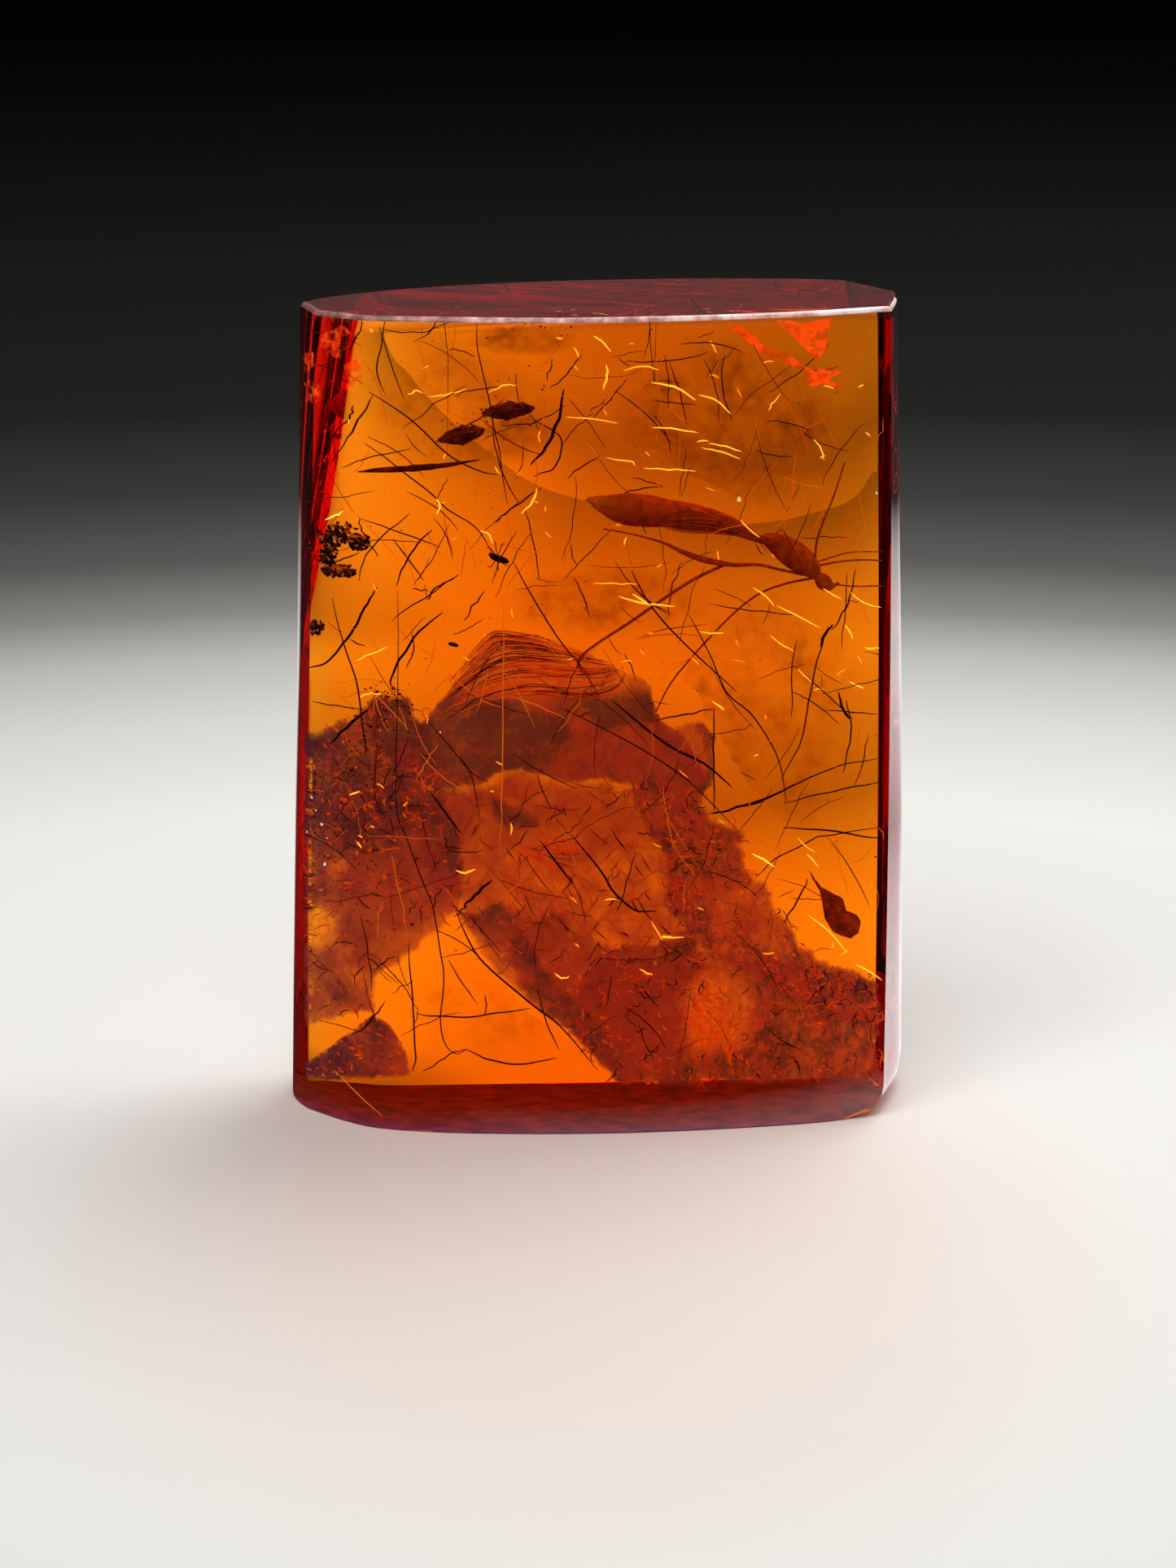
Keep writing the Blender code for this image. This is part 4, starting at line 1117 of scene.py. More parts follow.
def ragged(outline, step, amount, seed):
    """An outline with more points, torn by noise."""
    noise.seed_set(NOISE_SEED)
    torn = []
    for (ax, ay), (bx, by) in zip(outline, outline[1:] + outline[:1]):
        count = max(1, round(math.hypot(bx - ax, by - ay) / step))
        for k in range(count):
            t = k / count
            x, y = ax + (bx - ax) * t, ay + (by - ay) * t
            coarse = noise.noise_vector(Vector((x / 34, y / 34, seed)))
            fine = noise.noise_vector(Vector((x / 9, y / 9, seed + 5.0)))
            torn.append((x + amount * (coarse.x + 0.6 * fine.x), y + amount * (coarse.y + 0.6 * fine.y)))
    return torn


def fraying(edge, soft):
    """A function that gives 0 on an outline in the photograph and 1 from about a soft width inside it."""
    rim = np.array(edge)

    def frayed(px, py):
        reach = float(np.hypot(rim[:, 0] - px, rim[:, 1] - py).min())
        return blend(0.0, soft, reach * (0.6 + 0.8 * cloud(px, py, 30, soft)))

    return frayed


def sheet(name, outline, depth, relief, tear, masks, settings, seed, waves=60.0, soft=0.0):
    """A torn sheet over an outline in the photograph, frayed over a soft width; masks give a place its look."""
    step = settings.step
    edge = ragged(outline, step, tear, seed)
    low, high = min(y for _, y in edge), max(y for _, y in edge)
    xs, ys = np.meshgrid(np.arange(AMBER_LEFT, AMBER_RIGHT, step), np.arange(low, high, step))
    jitter = np.random.default_rng(int(seed * 10))
    xs = (xs + jitter.uniform(-0.3, 0.3, xs.shape) * step).ravel()
    ys = (ys + jitter.uniform(-0.3, 0.3, ys.shape) * step).ravel()
    keep = inside_outline(edge, xs, ys)
    points = [Vector(p) for p in edge] + [Vector(p) for p in zip(xs[keep], ys[keep])]
    found, _, faces, _, _, _ = geometry.delaunay_2d_cdt(points, [], [list(range(len(edge)))], 1, 0.05)
    used = sorted({i for face in faces for i in face})
    order = {old: new for new, old in enumerate(used)}
    verts, values = [], {label: [] for label in MASKS}
    frayed = fraying(edge, soft) if soft else None
    for i in used:
        px = min(max(found[i].x, AMBER_LEFT), AMBER_RIGHT)
        py = min(max(found[i].y, 398.0), 1333.0)
        wave = noise.noise(Vector((px / waves, py / waves, seed))) \
            + 0.4 * noise.noise(Vector((px / waves * 3, py / waves * 3, seed + 9.0)))
        verts.append(Amber.seen(px, py, settings.depth / MM + depth + relief * wave))
        for label, value in masks(px, py).items():
            values[label].append(value * frayed(px, py) if frayed and label == "opacity" else value)
    piece = mesh_object(name, verts, [tuple(order[i] for i in face) for face in faces], values)
    modifier = piece.modifiers.new("thickness", "SOLIDIFY")
    modifier.thickness = settings.thickness
    modifier.offset = 0.0
    bpy.ops.object.modifier_apply(modifier=modifier.name)
    return piece


# Masks of the film's sheets: shade runs from orange over red and maroon to black.
MASKS = ("shade", "opacity", "crackle", "wrinkle")


def blend(low, high, value):
    """0 below low, 1 above high and smooth between."""
    t = min(max((value - low) / (high - low), 0.0), 1.0)
    return t * t * (3.0 - 2.0 * t)


def patch(px, py, x, y, wide, tall, soft=0.5):
    """1 in the middle of an oval patch and 0 outside it."""
    reach = math.hypot((px - x) / wide, (py - y) / tall)
    return 1.0 - blend(1.0 - soft, 1.0, reach)


def cloud(px, py, size, seed):
    """Soft noise round 0.5, from 0 to 1."""
    value = noise.noise(Vector((px / size, py / size, seed)))
    return min(max(0.5 + 0.75 * value, 0.0), 1.0)


def arch_masks(px, py):
    top = 1.0 - blend(842.0, 872.0, py + 14.0 * cloud(px, py, 40, 1.0))
    dark = patch(px, py, 600, 905, 130, 66) * 0.35 + patch(px, py, 762, 862, 80, 40) * 0.35
    shade = 0.70 + dark - 0.30 * top + 0.2 * (cloud(px, py, 26, 2.0) - 0.5)
    opacity = 0.74 - 0.36 * top + 0.12 * (cloud(px, py, 20, 3.0) - 0.5)
    return {"shade": shade, "opacity": opacity, "crackle": 0.0, "wrinkle": 0.35}


def window_masks(px, py):
    edge = patch(px, py, 700, 1090, 190, 170, 0.35)
    shade = 0.26 + 0.42 * (1.0 - edge) + 0.5 * (cloud(px, py, 38, 4.0) - 0.5)
    opacity = 0.46 + 0.24 * (1.0 - edge) + 0.3 * (cloud(px, py, 22, 5.0) - 0.5)
    return {"shade": shade, "opacity": opacity, "crackle": 0.32, "wrinkle": 0.35}


def left_masks(px, py):
    upper = 1.0 - blend(985.0, 1080.0, py - 0.25 * (px - 380.0))
    shade = 0.52 + 0.44 * upper + 0.4 * (cloud(px, py, 44, 6.0) - 0.5) - 0.35 * patch(px, py, 392, 1140, 34, 36)
    opacity = 0.55 + 0.3 * (cloud(px, py, 30, 7.0) - 0.5) - 0.35 * patch(px, py, 392, 1140, 34, 36)
    return {"shade": shade, "opacity": opacity + 0.14 * upper, "crackle": 0.1, "wrinkle": 0.6}


def brown_masks(px, py):
    return {"shade": 0.42, "opacity": 0.30, "crackle": 0.0, "wrinkle": 0.1}


def dark_masks(px, py):
    return {"shade": 0.85, "opacity": 0.42 + 0.3 * (cloud(px, py, 28, 8.0) - 0.5), "crackle": 0.1, "wrinkle": 0.4}


def strip_masks(px, py):
    red = patch(px, py, 926, 1118, 62, 58)
    shade = 0.70 - 0.26 * red + 0.42 * (cloud(px, py, 30, 9.0) - 0.5)
    return {"shade": shade, "opacity": 0.72 - 0.1 * red, "crackle": 0.0, "wrinkle": 1.0}


def low_masks(px, py):
    fan = patch(px, py, 878, 1246, 66, 64)
    shade = 0.76 - 0.55 * fan + 0.38 * (cloud(px, py, 34, 10.0) - 0.5)
    return {"shade": shade, "opacity": 0.72 - 0.34 * fan, "crackle": 0.0, "wrinkle": 0.8}


def red_masks(px, py):
    shade = 0.40 + 0.3 * (cloud(px, py, 40, 11.0) - 0.5) + 0.2 * patch(px, py, 690, 1140, 60, 50)
    return {"shade": shade, "opacity": 0.52 + 0.2 * (cloud(px, py, 30, 12.0) - 0.5), "crackle": 0.2, "wrinkle": 0.4}


def wedge_masks(px, py):
    return {"shade": 0.82, "opacity": 0.5, "crackle": 0.1, "wrinkle": 0.5}


def corner_masks(px, py):
    light = blend(455.0, 505.0, px + (py - 1280.0) * 0.3)
    shade = 0.92 - 0.5 * light + 0.3 * light * (cloud(px, py, 8, 13.0) - 0.5)
    return {"shade": shade, "opacity": 0.82 - 0.2 * light, "crackle": 0.3 * light, "wrinkle": 0.5}


def lobe_masks(px, py):
    rim = blend(0.45, 0.95, math.hypot((px - 846) / 36, (py - 930) / 52)) * blend(846.0, 866.0, px)
    return {"shade": 0.45 + 0.5 * rim, "opacity": 0.4 + 0.4 * rim, "crackle": 0.0, "wrinkle": 0.6}


def shade_masks(px, py):
    return {"shade": 1.0, "opacity": 0.6, "crackle": 0.0, "wrinkle": 0.2}


# One row for each sheet: outline, depth from the film's own in mm, relief, tear, frayed width, masks.
FILM_SHEETS = (
    ("arch", FILM_ARCH, -0.10, 0.10, 4.0, 4.0, arch_masks),
    ("window", FILM_WINDOW, 0.12, 0.05, 7.0, 16.0, window_masks),
    ("left", FILM_LEFT, 0.02, 0.10, 8.0, 8.0, left_masks),
    ("left dark", FILM_LEFT_DARK, -0.18, 0.08, 10.0, 30.0, dark_masks),
    ("brown", FILM_BROWN, -0.12, 0.04, 4.0, 12.0, brown_masks),
    ("strip", FILM_STRIP, -0.08, 0.20, 8.0, 8.0, strip_masks),
    ("low", FILM_LOW, 0.06, 0.16, 8.0, 6.0, low_masks),
    ("red", FILM_RED, -0.06, 0.12, 8.0, 18.0, red_masks),
    ("wedge", FILM_WEDGE, -0.20, 0.08, 4.0, 6.0, wedge_masks),
    ("corner", FILM_CORNER, -0.15, 0.08, 2.5, 3.0, corner_masks),
    ("lobe", FILM_LOBE, -0.22, 0.08, 4.0, 6.0, lobe_masks),
    ("leaf shade", LEAF_SHADE, -0.05, 0.02, 2.5, 9.0, shade_masks),
)


class AMBER_OT_add_fly(bpy.types.Operator):
    """Add the crane fly: body, folded wings, legs and feelers, all one piece"""

    bl_idname = "amber.add_fly"
    bl_label = "Crane fly"

    def body(self, name, stations, settings, rings=0):
        """A rounded section of the body through its stations."""
        steps = rings * 8 if rings else 24
        points, radii, thin = [], [], []
        for i, (px, py, half) in enumerate(curve_through(stations, steps)):
            t = i / steps
            joint = settings.ring_depth * max(0.0, math.cos(2 * math.pi * t * rings)) ** 6 if rings else 0.0
            points.append(Amber.seen(px, py, FLY_DEPTH))
            radii.append(max(0.01 * MM, max(half, 0.6) * PIXEL * MM - joint))
            thin += [blend(0.55, 0.1, t) * 0.6 if rings else 0.0] * settings.sides
        verts, faces = tube(points, radii, settings.sides, 0.85)
        return mesh_object(name, verts, faces, {"thin": thin})

    def wing(self, name, outline, depth, settings):
        """A folded wing, thin and see-through."""
        ring = curve_through(outline + outline[:1], len(outline) * 4)[:-1]
        front = [Amber.seen(p.x, p.y, depth) for p in ring]
        back = [Amber.seen(p.x, p.y, depth + 0.04) for p in ring]
        count = len(ring)
        faces = [tuple(range(count)), tuple(range(2 * count - 1, count - 1, -1))]
        faces += [(i, (i + 1) % count, count + (i + 1) % count, count + i) for i in range(count)]
        return mesh_object(name, front + back, faces, {"thin": [0.75] * (2 * count)})

    def execute(self, context):
        settings = context.scene.amber_fly
        parts = [
            self.body("abdomen", ABDOMEN, settings, settings.rings),
            self.body("thorax", THORAX, settings),
            self.body("head", HEAD, settings),
            self.wing("near wing", WINGS[0], FLY_DEPTH - 0.62, settings),
            self.wing("far wing", WINGS[1], FLY_DEPTH - 0.55, settings),
        ]
        for leg in LEGS:
            path = curve_through(leg, 8 * (len(leg) - 1))
            points = [Amber.seen(min(px, AMBER_RIGHT), py, depth) for px, py, depth, _ in path]
            verts, faces = tube(points, [max(0.012, radius) * MM for *_, radius in path], 10)
            parts.append(mesh_object("leg", verts, faces, {"thin": [0.1] * len(verts)}))
        for vein in WING_VEINS:
            path = curve_through(vein, 16)
            points = [Amber.seen(px, py, FLY_DEPTH - 0.64) for px, py in path]
            verts, faces = tube(points, [0.022 * MM] * len(points), 6)
            parts.append(mesh_object("vein", verts, faces, {"thin": [0.0] * len(verts)}))
        beak = [Amber.seen(px, py, FLY_DEPTH) for px, py in curve_through(HEAD_BEAK, 8)]
        verts, faces = tube(beak, [(0.14 - 0.011 * i) * MM for i in range(len(beak))], 10)
        parts.append(mesh_object("beak", verts, faces, {"thin": [0.3] * len(verts)}))
        fly = join_all("crane_fly", parts)
        finish_piece(fly, fly_material(settings), "insect", "crane_fly")
        return {"FINISHED"}


class AMBER_OT_add_film(bpy.types.Operator):
    """Add the torn bark film in its overlapping sheets"""

    bl_idname = "amber.add_film"
    bl_label = "Bark film"

    def execute(self, context):
        settings = context.scene.amber_film
        parts = []
        for number, (name, outline, depth, relief, tear, soft, masks) in enumerate(FILM_SHEETS):
            parts.append(sheet(name, outline, depth, relief, tear, masks, settings, number + 1.5, soft=soft))
        film = join_all("bark_film", parts)
        finish_piece(film, film_with_painted_glow_material(), "bark", "bark_film")
        return {"FINISHED"}


class AMBER_OT_add_veils(bpy.types.Operator):
    """Add faint mottled sheets that tint and darken the amber in places"""

    bl_idname = "amber.add_veils"
    bl_label = "Flow veils"

    def execute(self, context):
        settings = context.scene.amber_film
        parts = []
        for number, (outline, depth, shade, opacity) in enumerate(VEILS):
            def masks(px, py):
                xs, ys = zip(*outline)
                wide, tall = (max(xs) - min(xs)) / 2, (max(ys) - min(ys)) / 2
                soft = patch(px, py, min(xs) + wide, min(ys) + tall, wide, tall, 0.6)
                mottle = cloud(px, py, 46, number + 20.0) * cloud(px, py, 15, number + 30.0)
                return {"shade": shade, "opacity": opacity * soft * (0.25 + 1.5 * mottle), "crackle": 0.0,
                        "wrinkle": 0.0}
            parts.append(sheet("veil", outline, depth, 0.25, 8.0, masks, settings, number + 41.5))
        veils = join_all("flow_veils", parts)
        finish_piece(veils, veil_material(), "amber")
        return {"FINISHED"}


class AMBER_OT_add_fibres(bpy.types.Operator):
    """Add the fibres, cracks and curls of the bark film"""

    bl_idname = "amber.add_fibres"
    bl_label = "Fibres of the film"

    def execute(self, context):
        settings = context.scene.amber_hairs
        film = context.scene.amber_film.depth / MM
        rng = random.Random(settings.seed + 1)
        strands = Strands()
        upper, lower = FILM_FIBRES[:7], tuple(reversed(FILM_FIBRES[7:]))
        for _ in range(90):
            t = rng.random()
            start = rng.uniform(0.0, 0.55)
            stop = min(1.0, start + rng.uniform(0.2, 0.6))
            path = []
            for k in range(5):
                place = start + (stop - start) * k / 4
                a = curve_at(upper, place)
                b = curve_at(lower, place)
                path.append(a.lerp(b, t) + Vector((0.0, rng.uniform(-2.0, 2.0))))
            tone = rng.choice((0.1, 0.2, 0.3, 0.55, 0.6))
            strands.add_seen(path, (film - 0.3, film - 0.3), rng.uniform(0.012, 0.03), tone, 12, sides=4)
        for _ in range(520):
            x, y = scatter(rng, FILM_STRIP if rng.random() < 0.5 else FILM_LOW)
            strands.add_seen(curl(rng, x, y, rng.uniform(6, 26), 1.4), (film - 0.35, film - 0.25),
                             rng.uniform(0.012, 0.032), rng.choice((0.05, 0.1, 0.35, 0.42, 0.5, 0.58)), 7, sides=4)
        for _ in range(260):
            place = rng.choice((FILM_STRIP, FILM_LOW, FILM_LEFT_DARK, FILM_LEFT, FILM_RED, FILM_CORNER))
            x, y = scatter(rng, place)
            strands.add_seen(arc(x, y, rng.uniform(3, 9), rng.uniform(-0.4, 1.6), 0.3), (film - 0.45, film - 0.4),
                             rng.uniform(0.03, 0.07), rng.choice((0.42, 0.5, 0.58, 0.66)), 4, sides=4, flat=0.5)
        for _ in range(70):
            turn = rng.uniform(-1.3, 0.5)
            reach = rng.uniform(14, 60)
            x, y = 842 + reach * math.cos(turn) * 1.1, 1272 + reach * math.sin(turn)
            lean = turn + math.pi / 2 + rng.uniform(-0.4, 0.4)
            strands.add_seen(arc(x, y, rng.uniform(10, 26), lean, rng.uniform(-0.8, 0.8)),
                             (film - 0.3, film - 0.3), rng.uniform(0.02, 0.045), rng.choice((0.55, 0.6, 0.66)),
                             8, sides=4)
        for _ in range(34):
            turn = rng.uniform(-0.5, 1.9)
            reach = rng.uniform(20, 70)
            x, y = 640 + reach * math.cos(turn), 1045 + 0.8 * reach * math.sin(turn)
            strands.add_seen(arc(x, y, rng.uniform(24, 70), turn + rng.uniform(-0.15, 0.15), 0.1),
                             (film - 0.3, film - 0.25), rng.uniform(0.014, 0.03), rng.choice((0.45, 0.58, 0.62, 0.2)),
                             8, sides=4, wander=4.0)
        for _ in range(95):
            x, y = scatter(rng, FILM_WINDOW)
            lean = rng.choice((0.8, 1.0, -0.7, -0.9, 0.1))
            strands.add_seen(arc(x, y, rng.uniform(10, 34), lean + rng.uniform(-0.15, 0.15), 0.15),
                             (film - 0.2, film - 0.15), rng.uniform(0.018, 0.036), rng.choice((0.1, 0.14, 0.3)),
                             5, sides=4, wander=3.0)
        for _ in range(220):
            x, y = scatter(rng, FILM_LEFT if rng.random() < 0.6 else FILM_LEFT_DARK)
            strands.add_seen(arc(x, y, rng.uniform(8, 30), rng.uniform(0, math.pi), 0.4),
                             (film - 0.4, film - 0.3), rng.uniform(0.015, 0.03), rng.choice((0.08, 0.2, 0.4, 0.5)),
                             6, sides=4, wander=3.0)
        fibres = strands.make("film_fibres")
        # The fibres get a faint painted glow as emission.
        finish_piece(fibres, strand_material("film fibres", 0.30), "bark")
        return {"FINISHED"}


def curve_at(points, place):
    """The point at a share of the way along a broken line."""
    spot = place * (len(points) - 1)
    i = min(int(spot), len(points) - 2)
    return Vector(points[i]).lerp(Vector(points[i + 1]), spot - i)


def scatter(rng, outline):
    """A random place inside an outline."""
    xs, ys = zip(*outline)
    while True:
        x, y = rng.uniform(min(xs), max(xs)), rng.uniform(min(ys), max(ys))
        if inside_outline(list(outline), np.array([x]), np.array([y]))[0]:
            return x, y


def arc(x, y, length, lean, bend):
    """A bowed line through a place, leaning by an angle."""
    places = []
    for k in range(5):
        t = k / 4 - 0.5
        across = bend * length * (0.25 - t * t)
        places.append((x + t * length * math.cos(lean) - across * math.sin(lean),
                       y + t * length * math.sin(lean) + across * math.cos(lean)))
    return places


def curl(rng, x, y, length, turn):
    """A short line that curls one way and then the other."""
    places = [(x, y)]
    heading = rng.uniform(0, 2 * math.pi)
    for _ in range(4):
        heading += rng.uniform(-turn, turn)
        x += length / 4 * math.cos(heading)
        y += length / 4 * math.sin(heading)
        places.append((x, y))
    return places


class AMBER_OT_add_hairs(bpy.types.Operator):
    """Add the plant hairs, dark and golden"""

    bl_idname = "amber.add_hairs"
    bl_label = "Plant hairs"

    def execute(self, context):
        settings = context.scene.amber_hairs
        rng = random.Random(settings.seed)
        dark, golden = Strands(), Strands()
        for path in MAIN_HAIRS:
            depth = rng.uniform(-3.0, -0.3)
            dark.add_seen(path, (depth, depth + rng.uniform(-0.3, 0.3)), rng.uniform(0.030, 0.042), 0.06, 40,
                          wander=2.0)
        for path in THICK_HAIRS:
            depth = rng.uniform(-2.2, -0.4)
            dark.add_seen(path, (depth, depth), rng.uniform(0.045, 0.072), 0.03, 30, blunt=0.25, wander=2.0)
        for _ in range(settings.short_dark):
            x, y = rng.uniform(392, 1080), rng.uniform(400, 1300)
            depth = rng.uniform(-3.0, 2.0)
            dark.add_seen(arc(x, y, rng.uniform(18, 110), rng.uniform(0, math.pi), rng.uniform(-0.35, 0.35)),
                          (depth, depth + rng.uniform(-0.5, 0.5)), rng.uniform(0.014, 0.032),
                          rng.choice((0.02, 0.05, 0.12, 0.22)), 12, wander=2.5)
        for path in GOLDEN_HAIRS:
            depth = rng.uniform(-2.6, -0.6)
            golden.add_seen(path, (depth, depth), rng.uniform(0.022, 0.032), 0.62, 30, wander=3.0)
        for _ in range(settings.short_golden):
            x, y = rng.uniform(420, 1080), rng.uniform(400, 1160)
            depth = rng.uniform(-3.0, 1.0)
            golden.add_seen(arc(x, y, rng.uniform(20, 90), rng.gauss(1.3, 0.8), rng.uniform(-0.4, 0.4)),
                            (depth, depth), rng.uniform(0.012, 0.024), rng.choice((0.55, 0.62, 0.7)), 12, wander=2.5)
        ring = [(524 + 5 * math.cos(a), 876 + 6 * math.sin(a)) for a in (k * math.pi / 6 for k in range(13))]
        golden.add_seen(ring, (-1.0, -1.0), 0.03, 0.5, 24, blunt=0.9)
        # The golden hairs get a faint painted glow as emission; the dark hairs none.
        finish_piece(dark.make("dark_hairs"), strand_material("dark hairs", 0.0), "wood")
        finish_piece(golden.make("golden_hairs"), strand_material("golden hairs", 0.35), "wood")
        return {"FINISHED"}


class AMBER_OT_add_glints(bpy.types.Operator):
    """Add the healed cracks and stress flakes with painted glints, gold strokes that glow, and the cracks of the upper
    corners
    """

    bl_idname = "amber.add_glints"
    bl_label = "Glints and cracks"

    def execute(self, context):
        rng = random.Random(context.scene.amber_hairs.seed + 2)
        glints = Strands()
        for path in GLINTS:
            depth = rng.uniform(-3.2, -2.2)
            glints.add_seen(path, (depth, depth), rng.uniform(0.028, 0.050), rng.uniform(0.80, 1.0), 14, blunt=0.12,
                            flat=0.4, wander=1.6)
        for _ in range(70):
            x, y = rng.uniform(400, 1080), rng.uniform(400, 1190)
            depth = rng.uniform(-3.0, 0.0)
            glints.add_seen(arc(x, y, rng.uniform(5, 16), rng.gauss(0.3, 0.8), rng.uniform(-0.5, 0.5)),
                            (depth, depth), rng.uniform(0.02, 0.04), rng.uniform(0.7, 0.9), 6, blunt=0.1, flat=0.4)
        # The glints are painted: gold strokes that glow as emission.
        finish_piece(glints.make("glints"), strand_material("glints", 1.7), "amber")
        # The corner cracks and the flecks at the upper left are painted bright with the glowing crack material.
        flakes = []
        for number, outline in enumerate(TOP_CRACKS + LEFT_FLECKS):
            edge = ragged(outline, 6.0, 3.0 if number < len(TOP_CRACKS) else 9.0, number + 3.3)
            depth = -2.6 if number < len(TOP_CRACKS) else -1.2
            faces = geometry.tessellate_polygon([[Vector((x, y, 0.0)) for x, y in edge]])
            verts = []
            for thick in (0.0, 0.03):
                verts += [Amber.seen(min(max(x, AMBER_LEFT), AMBER_RIGHT), y,
                                     depth + thick + 0.25 * noise.noise(Vector((x / 20, y / 20, number))))
                          for x, y in edge]
            count = len(edge)
            sides = [(i, (i + 1) % count, count + (i + 1) % count, count + i) for i in range(count)]
            both = [tuple(f) for f in faces] + [tuple(count + i for i in reversed(f)) for f in faces]
            bright = 0.95 if number == 1 else 0.7 if number < len(TOP_CRACKS) else rng.uniform(0.4, 0.6)
            flakes.append(mesh_object("flake", verts, both + sides, {"tone": [bright] * (2 * count)}))
        cracks = join_all("corner_cracks", flakes)
        finish_piece(cracks, crack_material(), "amber")
        return {"FINISHED"}


class AMBER_OT_add_scraps(bpy.types.Operator):
    """Add the leaf scrap, the splinter and the two husks"""

    bl_idname = "amber.add_scraps"
    bl_label = "Plant scraps"

    def leaf(self, settings):
        """A torn wedge of leaf."""
        edge = ragged(LEAF, 4.0, 1.6, 21.0)
        faces = geometry.tessellate_polygon([[Vector((x, y, 0.0)) for x, y in edge]])
        verts = []
        for thick in (-0.05, 0.05):
            verts += [Amber.seen(min(x, AMBER_RIGHT), y, LEAF_DEPTH + thick + 0.1 * math.sin(y / 18.0))
                      for x, y in edge]
        count = len(edge)
        sides = [(i, (i + 1) % count, count + (i + 1) % count, count + i) for i in range(count)]
        both = [tuple(f) for f in faces] + [tuple(count + i for i in reversed(f)) for f in faces]
        return mesh_object("leaf_scrap", verts, both + sides)

    def husk(self, name, place, size, tilt):
        """A bud husk: a rough spindle with ridges along it."""
        bpy.ops.object.select_all(action="DESELECT")
        bpy.ops.mesh.primitive_ico_sphere_add(subdivisions=5, radius=1.0)
        piece = bpy.context.object
        piece.name = name
        centre = Amber.seen(*place, HUSK_DEPTH)
        along, height = Amber.read(centre)
        turn = math.radians(tilt)
        for vert in piece.data.vertices:
            p = vert.co.copy()
            narrow = math.sqrt((1.0 - min(abs(p.x), 0.999)) / (1.0001 - min(p.x ** 2, 0.999)))
            ridge = 1.0 + 0.10 * math.sin(9.0 * math.atan2(p.z, p.y)) + 0.42 * noise.noise(p * 3.1)
            ridge += 0.34 * noise.noise(p * 8.3 + Vector(size))
            a, h = p.x * size[0], p.z * size[1] * narrow * ridge
            vert.co = Amber.place(along + a * math.cos(turn) - h * math.sin(turn),
                                  height + a * math.sin(turn) + h * math.cos(turn),
                                  HUSK_DEPTH + p.y * size[2] * narrow * ridge)
        bpy.ops.object.shade_smooth()
        return piece

    def execute(self, context):
        finish_piece(self.leaf(context.scene.amber_fly), scrap_material("leaf", (0.55, 0.10, 0.05), 0.92), "leaf",
                     "leaf_scrap")
        path = curve_through(SPLINTER, 24)
        points = [Amber.seen(px, py, SPLINTER_DEPTH) for px, py, _ in path]
        radii = [max(0.01, r) * MM * (1.0 + 0.25 * noise.noise(Vector((px / 6, 0, 0)))) for px, _, r in path]
        verts, faces = tube(points, radii, 12, 0.7)
        finish_piece(mesh_object("splinter", verts, faces), scrap_material("wood", (0.16, 0.035, 0.012), 1.0), "wood",
                     "splinter")
        material = scrap_material("husk", (0.30, 0.07, 0.02), 0.97)
        for name, place, size, tilt in HUSKS:
            finish_piece(self.husk(name, place, size, tilt), material, "husk", name)
        return {"FINISHED"}


